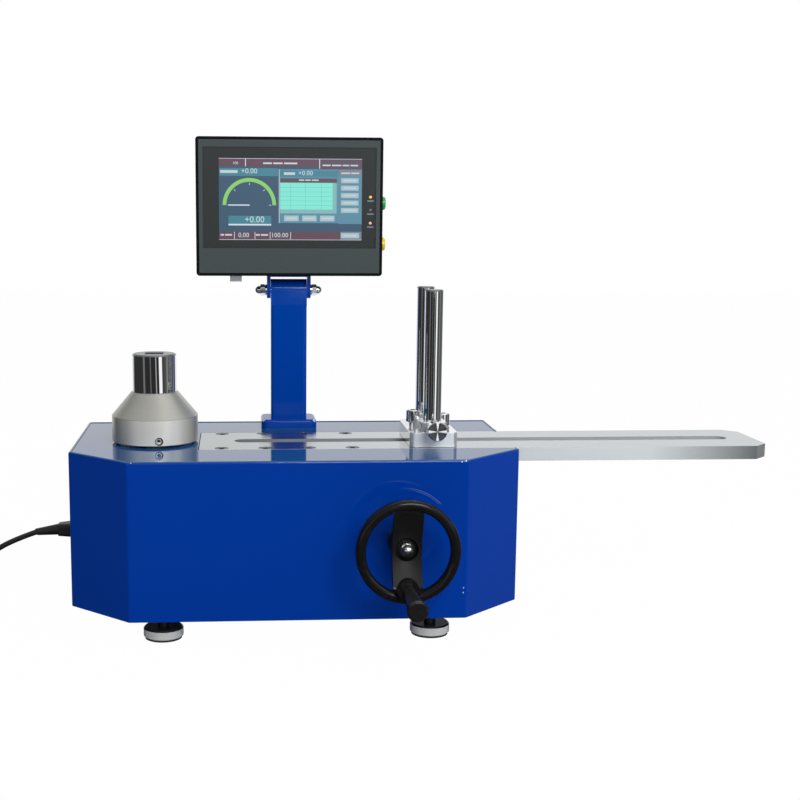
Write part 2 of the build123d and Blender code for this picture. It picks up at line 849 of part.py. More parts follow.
def handle_spindle():
    length = spindle_collar + grip_gap + grip_length - 6
    pin = rod((0, 0, spindle_front - 12), "z", spindle_radius, 12 + length)
    collar = hexagon((0, 0, spindle_front), "z", spindle_hex, spindle_collar)
    return on_wheel(Pos(0, -handle_circle, 0) * (pin + collar))


# Tapered crank grip that spins freely on its spindle
def handle_grip():
    start = spindle_front + spindle_collar + grip_gap
    waist = grip_length * 0.3
    outline = Spline((grip_small, 0), (grip_small + 0.4, waist), (grip_large, grip_length - 3))
    close = Polyline((grip_large, grip_length - 3), (grip_large - 2, grip_length), (0, grip_length), (0, 0),
                     (grip_small, 0))
    grip = revolve(Plane.XZ * make_face(outline + close), Axis.Z)
    grip -= rod((0, 0, -1), "z", spindle_radius + running_gap, grip_length - 5 + 1)
    return on_wheel(Pos(0, -handle_circle, start) * grip)


# Torque transducer on the output shaft, under its turned housing
def flange_holes(bottom):
    places = PolarLocations(flange_screw_circle, flange_screws)
    hole = rod((0, 0, bottom - 1), "z", coupling_screw_radius + seat_gap, flange_thickness + 2)
    return Pos(output_x, arm_y, 0) * group(place * hole for place in places)


def coupling_screws():
    top = column_bottom + flange_thickness
    places = PolarLocations(flange_screw_circle, flange_screws)
    screw = cap_screw(0, 0, top, coupling_head_radius, coupling_head_height, coupling_screw_radius,
                      2 * flange_thickness - 2, coupling_hex)
    return group(Pos(output_x, arm_y, 0) * (place * screw) for place in places)


def transducer_body():
    top = column_bottom + flange_thickness
    rise = housing_top - column_boss_height
    body = rod((0, 0, column_bottom), "z", flange_radius, flange_thickness)
    column = rod((0, 0, top), "z", column_radius, rise - top)
    flats = block(-column_flat / 2, column_flat / 2, -column_flat / 2, column_flat / 2, top, rise)
    body += column & flats
    body += rod((0, 0, rise), "z", column_boss, column_boss_height)
    body -= rod((0, 0, housing_top - column_boss_height), "z", adapter_screw_radius + seat_gap,
                column_boss_height + 1)
    return Pos(output_x, arm_y, 0) * body - flange_holes(column_bottom)


def transducer_housing():
    bore = column_boss + seat_gap
    roof = housing_height - housing_wall
    shell = turned((output_x, arm_y, housing_bottom), "z",
                   [(housing_radius - housing_wall, 0), (housing_radius - 0.8, 0), (housing_radius, 0.8),
                    (housing_radius, housing_skirt), (housing_neck, housing_height), (bore, housing_height),
                    (bore, roof), (housing_radius - housing_wall, housing_skirt - 2)])
    angle = math.radians(grub_angle)
    place = Plane(origin=(output_x, arm_y, housing_bottom + grub_rise),
                  z_dir=(math.sin(angle), -math.cos(angle), 0))
    middle = Pos(0, 0, housing_radius - housing_wall / 2)
    return shell - place * middle * Cylinder(grub_radius + seat_gap, 3 * housing_wall)


def housing_screw():
    angle = math.radians(grub_angle)
    place = Plane(origin=(output_x, arm_y, housing_bottom + grub_rise),
                  z_dir=(math.sin(angle), -math.cos(angle), 0))
    length = housing_radius - flange_radius - grub_sink
    screw = rod((0, 0, flange_radius + seat_gap), "z", grub_radius, length)
    return place * (screw - hexagon((0, 0, housing_radius - 3), "z", grub_hex, 4))


def drive_adapter():
    r = adapter_radius
    c = adapter_chamfer
    sleeve = turned((output_x, arm_y, housing_top), "z",
                    [(0, 0), (r - 0.5, 0), (r, 0.5), (r, adapter_height - c), (r - c, adapter_height),
                     (0, adapter_height)])
    half = drive_square / 2
    top = housing_top + adapter_height
    socket = block(-half, half, -half, half, top - drive_depth, top + 1)
    sleeve -= Pos(output_x, arm_y, 0) * socket
    sleeve -= rod((output_x, arm_y, housing_top - 1), "z", adapter_screw_radius + seat_gap, adapter_height)
    head = cap_head_radius + 0.3
    return sleeve - rod((output_x, arm_y, top - drive_depth - cap_head_height), "z", head, drive_depth)


def adapter_screw():
    z = housing_top + adapter_height - drive_depth - cap_head_height
    length = z - housing_top + column_boss_height - 2
    return cap_screw(output_x, arm_y, z, cap_head_radius, cap_head_height - 0.5, adapter_screw_radius, length,
                     cap_hex)


def lower_bearing():
    top = frame_top + bearing_boss_height
    return bearing((output_x, arm_y, top - lower_bearing_width), lower_bearing_radius, lower_bearing_width)


def upper_bearing():
    return bearing((output_x, arm_y, plate_bottom), upper_bearing_radius, upper_bearing_width)


# Sliding carriage: a base with a tongue in the arm's slot and a boss under each reaction post
def post_places():
    return [arm_y - post_spacing / 2, arm_y + post_spacing / 2]


def carriage():
    base = slab(Pos(carriage_x, arm_y) * RectangleRounded(carriage_width, carriage_depth, carriage_corner),
                carriage_bottom, carriage_base)
    base = chamfer(base.faces().sort_by(Axis.Z)[-1].edges(), 0.5)
    half = tongue_length / 2
    side = slot_width / 2 - body_gap
    base += block(carriage_x - half, carriage_x + half, arm_y - side, arm_y + side,
                  carriage_bottom - tongue_drop, carriage_bottom + 1)
    for y in post_places():
        boss = slab(Pos(carriage_x, y) * RectangleRounded(boss_width, boss_depth, boss_corner), carriage_top - 1,
                    boss_height + 1)
        boss = chamfer(boss.faces().sort_by(Axis.Z)[-1].edges(), 0.5)
        base += boss
    for y in post_places():
        base -= rod((carriage_x, y, post_bottom), "z", post_spigot + seat_gap, post_height)
    for side in (-1, 1):
        base -= rod((carriage_x + side * clamp_spacing / 2, arm_y, carriage_bottom - 2 * tongue_drop), "z",
                    clamp_shank_radius + running_gap, carriage_base + 3 * tongue_drop)
    knob_hole = knob_hole_start()
    base -= rod((carriage_x, knob_hole, knob_z), "y", knob_shank_radius + running_gap, boss_depth / 2)
    base += rod((carriage_x - pin_left, post_places()[0] - pin_front, carriage_top - 1), "z", pin_radius,
                pin_height - pin_radius + 1)
    base += Pos(carriage_x - pin_left, post_places()[0] - pin_front,
                carriage_top + pin_height - pin_radius) * Sphere(pin_radius)
    return base


def knob_hole_start():
    return post_places()[0] - boss_depth / 2 - 1


def reaction_posts():
    seat = carriage_top + boss_height
    posts = []
    for y in post_places():
        post = rod((carriage_x, y, seat), "z", post_radius, post_height)
        post = chamfer(post.faces().sort_by(Axis.Z)[-1].edges(), post_chamfer)
        posts.append(post + rod((carriage_x, y, post_bottom), "z", post_spigot, seat - post_bottom + 1))
    return group(posts)


def slot_nut():
    top = arm_bottom - body_gap
    half = slot_nut_length / 2
    side = channel_width / 2 - slot_nut_gap
    nut = block(carriage_x - half, carriage_x + half, arm_y - side, arm_y + side, top - slot_nut_thickness, top)
    nut = fillet(nut.edges().filter_by(Axis.Z), 3)
    for side in (-1, 1):
        nut -= rod((carriage_x + side * clamp_spacing / 2, arm_y, top - 2 * slot_nut_thickness), "z",
                   clamp_shank_radius + running_gap, 3 * slot_nut_thickness)
    return nut


# Knurled clamp screw that pulls the carriage down on the arm through its slot
def clamp_screw(side, raised):
    x = carriage_x + side * clamp_spacing / 2
    bottom = carriage_top + body_gap + raised
    r = clamp_head_radius
    h = clamp_head_height
    head = turned((x, arm_y, bottom), "z", [(0, 0), (r - 0.8, 0), (r, 0.8), (r, h - 0.8), (r - 0.8, h), (0, h)])
    head -= hexagon((x, arm_y, bottom + h * 0.5), "z", cap_hex, h)
    low = arm_bottom - body_gap - slot_nut_thickness - 2 + raised
    return head + rod((x, arm_y, low), "z", clamp_shank_radius, bottom - low + 1)


# Knob that clamps the front reaction post in its boss
def clamp_knob():
    r = knob_radius
    n = knob_length
    face = post_places()[0] - boss_depth / 2 - knob_reach - knob_length
    knob = turned((carriage_x, face, knob_z), "y",
                  [(0, 0), (r - 0.8, 0), (r, 0.8), (r, n - 0.8), (r - 0.8, n), (0, n)])
    end = post_places()[0] - post_spigot - body_gap
    return knob + rod((carriage_x, face + n - 1, knob_z), "y", knob_shank_radius, end - face - n + 1)


# Display post: a square tube on a screwed flange, with a rounded head for the tilting fork
def stand_screw_places():
    x = stand_flange_width / 2 - stand_screw_inset
    y = stand_screw_pitch / 2
    return [(stand_x + sx * x, stand_y + sy * y) for sx in (-1, 1) for sy in (-1, 1)]


def display_post():
    place = Pos(stand_x, stand_y)
    flange = slab(place * RectangleRounded(stand_flange_width, stand_flange_depth, stand_corner), plate_top,
                  stand_flange)
    post = fillet(flange.faces().sort_by(Axis.Z)[-1].edges(), stand_rounding)
    top = hinge_z - stand_head_drop
    outer = place * RectangleRounded(stand_width, stand_depth, stand_edge)
    inner = place * RectangleRounded(stand_width - 2 * stand_wall, stand_depth - 2 * stand_wall, 1)
    post += slab(outer, plate_top, top - plate_top)
    post -= slab(inner, plate_top - 1, top - plate_top - stand_wall)
    post += stand_head(top)
    for x, y in stand_screw_places():
        post -= rod((x, y, plate_top - 1), "z", stand_screw_radius + seat_gap, stand_flange - stand_skin + 1)
    return post - rod((stand_x - stand_width, stand_y, hinge_z), "x", hinge_radius + running_gap,
                      2 * stand_width)


# Solid head of the post, rounded about the hinge so that the fork can turn round it
def stand_head(bottom):
    half = stand_depth / 2
    outline = Polyline((-half, bottom - 1), (half, bottom - 1), (half, bottom), (stand_head_radius, hinge_z),
                       (-stand_head_radius, hinge_z), (-half, bottom), close=True)
    side = Plane(origin=(stand_x - stand_width / 2, stand_y, 0), x_dir=(0, 1, 0), z_dir=(1, 0, 0))
    head = extrude(side * make_face(outline), stand_width)
    return head + rod((stand_x - stand_width / 2, stand_y, hinge_z), "x", stand_head_radius, stand_width)


# Screws that hold the flange from under the plate
def post_screws():
    length = plate_thickness + stand_flange - 2 * stand_skin
    screw = Rot(180, 0, 0) * cap_screw(0, 0, 0, stand_screw_head, stand_screw_head_height, stand_screw_radius,
                                       length, stand_screw_hex)
    return group(Pos(x, y, plate_bottom) * screw for x, y in stand_screw_places())


# Tilting fork under the display
def tilt_bracket():
    inner = stand_width / 2 + body_gap
    outer = inner + bracket_wall
    top = display_bottom + case_inset
    bottom = hinge_z - bracket_drop
    half = bracket_depth / 2
    fork = block(stand_x - outer, stand_x + outer, stand_y - half, stand_y + half, bottom, top)
    fork = fillet(fork.faces().sort_by(Axis.Z)[0].edges().filter_by(Axis.X), bracket_corner)
    fork -= block(stand_x - inner, stand_x + inner, stand_y - half - 1, stand_y + half + 1, bottom - 1,
                  top - bracket_wall)
    return fork - rod((stand_x - 2 * outer, stand_y, hinge_z), "x", hinge_radius + seat_gap, 4 * outer)


def tilt_bolt():
    face = stand_width / 2 + body_gap + bracket_wall
    reach = face + nut_washer + dome_nut_length * 0.5
    bolt = rod((stand_x - reach, stand_y, hinge_z), "x", hinge_radius, 2 * reach)
    nut = Pos(0, 0, nut_washer) * dome_nut(hinge_nut_flats, dome_nut_length, hinge_radius + seat_gap)
    nut += tube((0, 0, 0), "z", hinge_nut_flats * 0.6, hinge_radius + seat_gap, nut_washer)
    right = Plane(origin=(stand_x + face, stand_y, hinge_z), z_dir=(1, 0, 0)) * nut
    left = Plane(origin=(stand_x - face, stand_y, hinge_z), z_dir=(-1, 0, 0)) * nut
    return group([bolt, left, right])


# Display, given in the frame of its front: x from its left edge, z down from its top edge
def on_display(x, z):
    return (display_left + x, display_bottom + display_height - z)


def front_box(x, z, width, height, y0, y1):
    left, top = on_display(x, z)
    return block(left, left + width, y0, y1, top - height, top)


def display_bezel():
    frame = front_box(0, 0, display_width, display_height, display_front, display_front + bezel_depth)
    frame = fillet(frame.edges().filter_by(Axis.Y), bezel_corner)
    frame = chamfer(frame.faces().sort_by(Axis.Y)[0].edges(), 0.8)
    frame -= front_box(bezel_side, bezel_above, glass_width, glass_height, display_front - 1,
                       glass_face + glass_thickness)
    lip = glass_lip
    return frame - front_box(bezel_side + lip, bezel_above + lip, glass_width - 2 * lip, glass_height - 2 * lip,
                             display_front, display_front + bezel_depth + 1)


def display_case():
    start = display_front + bezel_depth
    left, top = on_display(case_inset, case_inset)
    right, bottom = on_display(display_width - case_inset, display_height - case_inset)
    case = block(left, right, start, start + case_depth, bottom, top)
    case = fillet(case.edges().filter_by(Axis.Y), bezel_corner)
    case = fillet(case.faces().sort_by(Axis.Y)[-1].edges(), case_rounding)
    case -= block(left + case_wall, right - case_wall, start - 1, start + case_depth - case_wall,
                  bottom + case_wall, top - case_wall)
    for rise in (upper_button_rise, lower_button_rise):
        case -= rod((right - 2 * case_wall, button_y, display_bottom + rise), "x",
                    side_button_radius + running_gap + sleeve_wall, 4 * case_wall)
    for i in range(vent_slots):
        x = stand_x + (i - (vent_slots - 1) / 2) * vent_pitch
        for z in (display_bottom + vent_inset, top - vent_inset):
            slot = SlotOverall(vent_length, vent_width, rotation=90)
            plane = Plane(origin=(x, start + case_depth - 2 * case_wall, z), z_dir=(0, 1, 0), x_dir=(1, 0, 0))
            case -= extrude(plane * slot, 4 * case_wall)
    return case - data_nose(bottom, seat_gap)


# Nose of the data connector, in its hole through the underside of the case
def data_nose(bottom, grow):
    x = display_left + data_left + data_width / 2
    y = display_front + bezel_depth + data_back + data_depth / 2
    half_w = data_nose_width / 2 + grow
    half_d = data_nose_depth / 2 + grow
    return block(x - half_w, x + half_w, y - half_d, y + half_d, bottom, bottom + data_nose_length + grow)


# Data connector plugged into the underside of the case, without its cable
def data_connector():
    left = display_left + data_left
    front = display_front + bezel_depth + data_back
    bottom = display_bottom + case_inset
    shell = block(left, left + data_width, front, front + data_depth, bottom - data_drop, bottom)
    shell = fillet(shell.edges().filter_by(Axis.Z), 1.0)
    return shell + data_nose(bottom, 0)


def display_glass():
    s = seat_gap
    return front_box(bezel_side + s, bezel_above + s, glass_width - 2 * s, glass_height - 2 * s, glass_face,
                     glass_face + glass_thickness)


def display_panel():
    grow = panel_margin
    start = glass_face + glass_thickness
    return front_box(screen_left - grow, screen_top - grow, screen_width + 2 * grow, screen_height + 2 * grow,
                     start, start + panel_thickness)


def display_board():
    start = glass_face + glass_thickness + panel_thickness + board_stand
    board = front_box(screen_left, screen_top, screen_width, screen_height, start, start + board_thickness)
    left, top = on_display(screen_left, screen_top)
    inset = board_stand_inset
    for x in (left + inset, left + screen_width - inset):
        for z in (top - inset, top - screen_height + inset):
            board += rod((x, start - board_stand, z), "y", board_stand_radius, board_stand + 0.5)
    pitch = (screen_width - 2 * chip_inset - chip_size) / (chips - 1)
    for i in range(chips):
        x = left + chip_inset + pitch * i
        board += block(x, x + chip_size, start + 1, start + 1 + chip_height, top - chip_drop - chip_size,
                       top - chip_drop)
    return board


def indicator_lights():
    start = glass_face + glass_thickness
    x, top = on_display(light_left, light_top)
    lights = block(x - light_strip / 2, x + light_strip / 2, start + 4, start + 4 + board_thickness,
                   top - 2 * light_pitch - 5, top + 5)
    for i in range(3):
        lights += rod((x, start, top - i * light_pitch), "y", light_radius, 4.5)
    return lights


def button_sleeves():
    face = display_left + display_width - case_inset
    inner = side_button_radius + running_gap
    sleeves = []
    for rise in (upper_button_rise, lower_button_rise):
        z = display_bottom + rise
        barrel = tube((face - button_depth, button_y, z), "x", inner + sleeve_wall - seat_gap, inner,
                      button_depth + 0.5)
        barrel += tube((face, button_y, z), "x", inner + 2 * sleeve_wall, inner, sleeve_flange)
        sleeves.append(barrel)
    return group(sleeves)


# Push button with a domed cap, kept in its sleeve by a collar at the inner end
def side_button(rise):
    face = display_left + display_width - case_inset
    z = display_bottom + rise
    r = side_button_radius
    start = face - button_depth - body_gap - 1.5
    length = face + case_inset + side_button_out - start
    return turned((start, button_y, z), "x", [(0, 0), (r + 0.9, 0), (r + 0.9, 1.5), (r, 1.5), (r, length - 1.2),
                                             (r - 1.2, length), (0, length)])


# Power inlet in the left side, with three blades
def power_inlet():
    half_w = inlet_cavity_width / 2
    half_h = inlet_cavity_height / 2
    wall = inlet_wall
    out = left_x - inlet_flange
    end = out + inlet_cavity_depth + inlet_back
    inlet = block(out, end, inlet_y - half_w - wall, inlet_y + half_w + wall, inlet_z - half_h - wall,
                  inlet_z + half_h + wall)
    edge = wall + inlet_margin
    inlet += block(out, left_x, inlet_y - half_w - edge, inlet_y + half_w + edge, inlet_z - half_h - edge,
                   inlet_z + half_h + edge)
    inlet -= block(out - 1, out + inlet_cavity_depth, inlet_y - half_w, inlet_y + half_w, inlet_z - half_h,
                   inlet_z + half_h)
    for y, z in inlet_pins():
        inlet += block(out + 3, end + 6, y - inlet_pin_width / 2, y + inlet_pin_width / 2,
                       z - inlet_pin_height / 2, z + inlet_pin_height / 2)
    return inlet


def inlet_pins():
    low = inlet_z - inlet_pin_drop
    return [(inlet_y - inlet_pin_spread, low), (inlet_y + inlet_pin_spread, low),
            (inlet_y, inlet_z + inlet_pin_drop)]


def lead_connector():
    out = left_x - inlet_flange
    half_w = inlet_cavity_width / 2 - seat_gap
    half_h = inlet_cavity_height / 2 - seat_gap
    nose = block(out, out + inlet_cavity_depth - 1, inlet_y - half_w, inlet_y + half_w, inlet_z - half_h,
                 inlet_z + half_h)
    half_pin = inlet_pin_width / 2 + running_gap
    high_pin = inlet_pin_height / 2 + running_gap
    for y, z in inlet_pins():
        nose -= block(out + 2, out + inlet_cavity_depth, y - half_pin, y + half_pin, z - high_pin, z + high_pin)
    start = Plane(origin=(out, inlet_y, inlet_z), x_dir=(0, 1, 0), z_dir=(-1, 0, 0))
    middle = Plane(origin=(out - connector_length, inlet_y, inlet_z - 0.8), x_dir=(0, 1, 0), z_dir=(-1, 0, 0))
    grip = loft([start * RectangleRounded(2 * half_w, 2 * half_h, 3),
                 middle * RectangleRounded(connector_end_width, connector_end_height, 4)])
    first = Vector(*cord_points[0])
    ahead = Vector(*cord_points[1]) - first
    end = Plane(origin=first, z_dir=ahead)
    relief = loft([middle * Circle(connector_neck), end * Circle(cord_radius + 0.9)])
    return nose + grip + relief


# Mains power supply: a folded tray with its cover, and the measuring circuit's board on stands
def power_supply():
    z = floor_top + supply_stand
    box = block(supply_x - supply_width / 2, supply_x + supply_width / 2, supply_y - supply_depth / 2,
                supply_y + supply_depth / 2, z, z + supply_height)
    box = fillet(box.edges().filter_by(Axis.X), 2)
    for x, y in stand_places(supply_x, supply_y, supply_width, supply_depth, supply_foot_inset):
        box += rod((x, y, floor_top), "z", supply_foot_radius, supply_stand + 1)
    return box


def stand_places(x, y, width, depth, inset):
    return [(x + sx * (width / 2 - inset), y + sy * (depth / 2 - inset)) for sx in (-1, 1) for sy in (-1, 1)]


def signal_board():
    z = floor_top + signal_stand
    board = block(signal_x - signal_width / 2, signal_x + signal_width / 2, signal_y - signal_depth / 2,
                  signal_y + signal_depth / 2, z, z + board_thickness)
    for x, y in stand_places(signal_x, signal_y, signal_width, signal_depth, signal_stand_inset):
        board += rod((x, y, floor_top), "z", signal_stand_radius, signal_stand + 0.5)
    for i in (-1, 0, 1):
        x = signal_x + i * signal_width / 4
        half = signal_chip_width / 2
        board += block(x - half, x + half, signal_y - half, signal_y + half, z + 1, z + 1 + chip_height)
    return board


# Power lead: short straight runs joined by arcs, from the connector down to the table behind the left side
cord_points = [(-284.0, 66.0, 70.0), (-312.0, 68.0, 60.0), (-338.0, 72.0, 43.5), (-360.0, 76.0, 24.0),
               (-384.0, 79.5, 9.5), (-412.0, 82.0, 4.6)]


def cord_radii():
    radii = []
    for i in range(1, len(cord_points) - 1):
        before = Vector(*cord_points[i]) - Vector(*cord_points[i - 1])
        after = Vector(*cord_points[i + 1]) - Vector(*cord_points[i])
        turn = math.radians(before.get_angle(after))
        radii.append(0.45 * min(before.length, after.length) / math.tan(turn / 2))
    return radii


def power_lead():
    route = FilletPolyline(*cord_points, radius=cord_radii())
    start = Plane(origin=cord_points[0], z_dir=route % 0)
    return sweep(start * Circle(cord_radius), path=route)


# The rest of the lead, put away as a flat coil of six turns beside the instrument
def coil_middle():
    end = Vector(*cord_points[-1])
    ahead = (end - Vector(*cord_points[-2])).normalized()
    return Vector(end.X - coil_radius * ahead.Y, end.Y + coil_radius * ahead.X, coil_stand + coil_height / 2)


def lead_coil():
    section = Pos(coil_radius, 0) * RectangleRounded(coil_width, coil_height, coil_height / 2 - 0.5)
    return Pos(coil_middle()) * revolve(Plane.XZ * section, Axis.Z)


def mains_plug():
    middle = coil_middle()
    x = middle.X - coil_radius
    y = middle.Y - plug_start
    start = Plane(origin=(x, y, middle.Z), x_dir=(1, 0, 0), z_dir=(0, -1, 0))
    back = Plane(origin=(x, y - relief_length, plug_height / 2 + 0.5), x_dir=(1, 0, 0), z_dir=(0, -1, 0))
    face = Plane(origin=(x, y - relief_length - plug_length, plug_height / 2 + 0.5), x_dir=(1, 0, 0),
                 z_dir=(0, -1, 0))
    plug = loft([start * Circle(cord_radius + 0.6), back * Circle(plug_corner + 0.5)])
    plug += loft([back * RectangleRounded(plug_neck_width, plug_neck_height, plug_corner),
                  face * RectangleRounded(plug_width, plug_height, plug_corner)])
    for across, up in ((-blade_spread, blade_rise), (blade_spread, blade_rise), (0, -blade_fall)):
        plug += extrude(face * Pos(across, up) * Rectangle(blade_thickness, blade_width), blade_length)
    return plug


save("chassis_shell", chassis_shell())
save("bottom_cover", bottom_cover())
save("top_plate", top_plate())
save("slotted_arm", slotted_arm())
save("arm_screws", arm_screws())
for name, place in zip(("foot_front_left", "foot_back_left", "foot_front_right", "foot_back_right"),
                       feet_places()):
    save(name, group([foot(*place), foot_pad_disc(*place)]))
save("foot_jam_nuts", foot_jam_nuts())
save("gear_frame", gear_frame())
save("worm_bushes", worm_bushes())
save("worm_collars", worm_collars())
save("worm_shaft", worm_shaft())
save("worm_wheel", worm_wheel())
save("wheel_key", wheel_key())
save("output_shaft", output_shaft())
save("lower_bearing", lower_bearing())
save("upper_bearing", upper_bearing())
save("mitre_drive", mitre_drive())
save("mitre_driven", mitre_driven())
save("wheel_bearing", wheel_bearing())
save("handwheel", handwheel())
save("handwheel_shaft", handwheel_shaft())
save("wheel_nut", wheel_nut())
save("handle_spindle", handle_spindle())
save("handle_grip", handle_grip())
save("transducer_body", transducer_body())
save("coupling_screws", coupling_screws())
save("transducer_housing", transducer_housing())
save("housing_screw", housing_screw())
save("drive_adapter", drive_adapter())
save("adapter_screw", adapter_screw())
save("carriage", carriage())
save("reaction_posts", reaction_posts())
save("slot_nut", slot_nut())
save("clamp_screw_left", clamp_screw(-1, clamp_raise))
save("clamp_screw_right", clamp_screw(1, 0))
save("clamp_knob", clamp_knob())
save("display_post", display_post())
save("post_screws", post_screws())
save("tilt_bracket", tilt_bracket())
save("tilt_bolt", tilt_bolt())
save("display_bezel", display_bezel())
save("display_case", display_case())
save("data_connector", data_connector())
save("display_glass", display_glass())
save("display_panel", display_panel())
save("display_board", display_board())
save("indicator_lights", indicator_lights())
save("button_sleeves", button_sleeves())
save("green_button", side_button(upper_button_rise))
save("yellow_button", side_button(lower_button_rise))
save("power_inlet", power_inlet())
save("power_supply", power_supply())
save("signal_board", signal_board())
save("lead_connector", lead_connector())
save("power_lead", power_lead())
save("lead_coil", lead_coil())
save("mains_plug", mains_plug())
print("lead radii", [round(radius, 1) for radius in cord_radii()])
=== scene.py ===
import bpy
import bmesh
import math
from mathutils import Matrix, Vector


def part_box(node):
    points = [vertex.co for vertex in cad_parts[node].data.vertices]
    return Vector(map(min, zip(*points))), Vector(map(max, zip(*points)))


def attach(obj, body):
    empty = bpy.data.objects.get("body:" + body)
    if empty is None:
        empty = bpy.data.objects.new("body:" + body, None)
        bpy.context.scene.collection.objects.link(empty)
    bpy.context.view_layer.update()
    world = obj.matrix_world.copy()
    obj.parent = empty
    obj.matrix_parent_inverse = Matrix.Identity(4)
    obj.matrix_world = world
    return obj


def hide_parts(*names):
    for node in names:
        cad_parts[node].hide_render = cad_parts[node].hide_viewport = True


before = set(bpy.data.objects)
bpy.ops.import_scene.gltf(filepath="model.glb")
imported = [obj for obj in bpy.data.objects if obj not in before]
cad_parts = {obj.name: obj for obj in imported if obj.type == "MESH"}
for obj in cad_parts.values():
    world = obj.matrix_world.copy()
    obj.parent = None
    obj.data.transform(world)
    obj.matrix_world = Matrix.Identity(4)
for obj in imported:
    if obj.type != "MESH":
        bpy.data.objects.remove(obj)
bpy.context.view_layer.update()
print("frame loaded:", len(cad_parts), "nodes")

mm = 0.001

# Places in the dictionaries are in millimetres from the middle of the casing, and this is the frame's origin
origin = {"x": 133.5, "y": -59.0}


def framePoint(x, y, z):
    return Vector(((x - origin["x"]) * mm, (y - origin["y"]) * mm, z * mm))


def cornersOf(part):
    low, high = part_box(part)
    return Vector(low), Vector(high)


# The camera looks a little down on the instrument, from left of its middle
view = {
    "place": (-0.1956, -1.3025, 0.4211),
    "pitch": 9.096,
    "yaw": 3.749,
    "roll": 0.269,
    "lens": 58.307,
    "sensor": 36,
    "shiftX": 0.1015,
    "shiftY": 0.028,
    "far": 50,
}


def makeCamera():
    pitch = math.radians(view["pitch"])
    yaw = math.radians(view["yaw"])
    roll = math.radians(view["roll"])
    ahead = Vector((math.sin(yaw) * math.cos(pitch), math.cos(yaw) * math.cos(pitch), -math.sin(pitch)))
    right = Vector((math.cos(yaw), -math.sin(yaw), 0))
    up = right.cross(ahead)
    tiltedRight = right * math.cos(roll) + up * math.sin(roll)
    tiltedUp = up * math.cos(roll) - right * math.sin(roll)
    data = bpy.data.cameras.new("camera")
    data.lens = view["lens"]
    data.sensor_width = view["sensor"]
    data.shift_x = view["shiftX"]
    data.shift_y = view["shiftY"]
    data.clip_end = view["far"]
    camera = bpy.data.objects.new("camera", data)
    bpy.context.collection.objects.link(camera)
    turn = Matrix((tiltedRight, tiltedUp, -ahead)).transposed()
    camera.matrix_world = Matrix.Translation(view["place"]) @ turn.to_4x4()
    bpy.context.scene.camera = camera


makeCamera()
bpy.context.scene.view_settings.view_transform = "Standard"
print("camera set")

# Power lead: the route down to the table, then the put-away turns, each with its ring and its level
lead = {
    "route": [(-284.0, 66.0, 70.0), (-312.0, 68.0, 60.0), (-338.0, 72.0, 43.5), (-360.0, 76.0, 24.0),
              (-384.0, 79.5, 9.5), (-412.0, 82.0, 4.6)],
    "diameter": 6.0,
    "coilRadius": 33.0,
    "turns": [(-1, 0), (0, 0), (1, 0), (1, 1), (0, 1), (-1, 1)],
    "pointsPerTurn": 14,
    "pointsSpared": 4,
    "crossing": 0.2,
    "sideOverlap": 0.1,
    "levelOverlap": 0.6,
    "lift": 0.4,
}


def coilMiddle():
    end = Vector(lead["route"][-1])
    ahead = (end - Vector(lead["route"][-2])).normalized()
    return end.x - lead["coilRadius"] * ahead.y, end.y + lead["coilRadius"] * ahead.x


# Three turns on the table from the inside out, then three on top of them
def coilTurns():
    x, y = coilMiddle()
    start = math.atan2(lead["route"][-1][1] - y, lead["route"][-1][0] - x)
    step = 2 * math.pi / lead["pointsPerTurn"]
    turns = lead["turns"]
    diameter = lead["diameter"]
    lowest = diameter / 2 + lead["lift"]
    points = []
    for index in range(1, len(turns) * lead["pointsPerTurn"] + 1 - lead["pointsSpared"]):
        along = index / lead["pointsPerTurn"]
        turn = min(int(along), len(turns) - 1)
        after = min(turn + 1, len(turns) - 1)
        mix = min(max((along - turn - 1 + lead["crossing"]) / lead["crossing"], 0), 1)
        ring = turns[turn][0] * (1 - mix) + turns[after][0] * mix
        level = turns[turn][1] * (1 - mix) + turns[after][1] * mix
        radius = lead["coilRadius"] + ring * (diameter - lead["sideOverlap"])
        angle = start + index * step
        points.append((x + radius * math.cos(angle), y + radius * math.sin(angle),
                       lowest + level * (diameter - lead["levelOverlap"])))
    return points


def makeLead():
    curve = bpy.data.curves.new("powerCord", "CURVE")
    curve.dimensions = "3D"
    curve.bevel_depth = 1.0
    curve.bevel_resolution = 5
    curve.resolution_u = 6
    spline = curve.splines.new("NURBS")
    route = [framePoint(*point) for point in lead["route"] + coilTurns()]
    spline.points.add(len(route) - 1)
    for point, place in zip(spline.points, route):
        point.co = (*place, 1)
        point.radius = lead["diameter"] / 2 * mm
    spline.order_u = 3
    spline.use_endpoint_u = True
    cord = bpy.data.objects.new("powerCord", curve)
    bpy.context.collection.objects.link(cord)
    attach(cord, "casing")
    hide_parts("power_lead", "lead_coil")
    return cord


powerCord = makeLead()
print("lead laid")


# Node helpers
def newMaterial(name):
    material = bpy.data.materials.new(name)
    material.use_nodes = True
    return material, material.node_tree


def shaderOf(material):
    return next(node for node in material.node_tree.nodes if node.type == "BSDF_PRINCIPLED")


def dress(material, *names):
    for name in names:
        piece = bpy.data.objects[name]
        piece.data.materials.clear()
        piece.data.materials.append(material)


# A socket takes a link from another socket, or else a plain value
def feed(tree, value, socket):
    if isinstance(value, bpy.types.NodeSocket):
        tree.links.new(value, socket)
    else:
        socket.default_value = value


def reckon(tree, operation, *values):
    node = tree.nodes.new("ShaderNodeMath")
    node.operation = operation
    for value, socket in zip(values, node.inputs):
        feed(tree, value, socket)
    return node.outputs[0]


def reckonVector(tree, operation, *values):
    node = tree.nodes.new("ShaderNodeVectorMath")
    node.operation = operation
    for value, socket in zip(values, node.inputs):
        feed(tree, value, socket)
    return node.outputs["Value" if operation in ("LENGTH", "DISTANCE") else "Vector"]


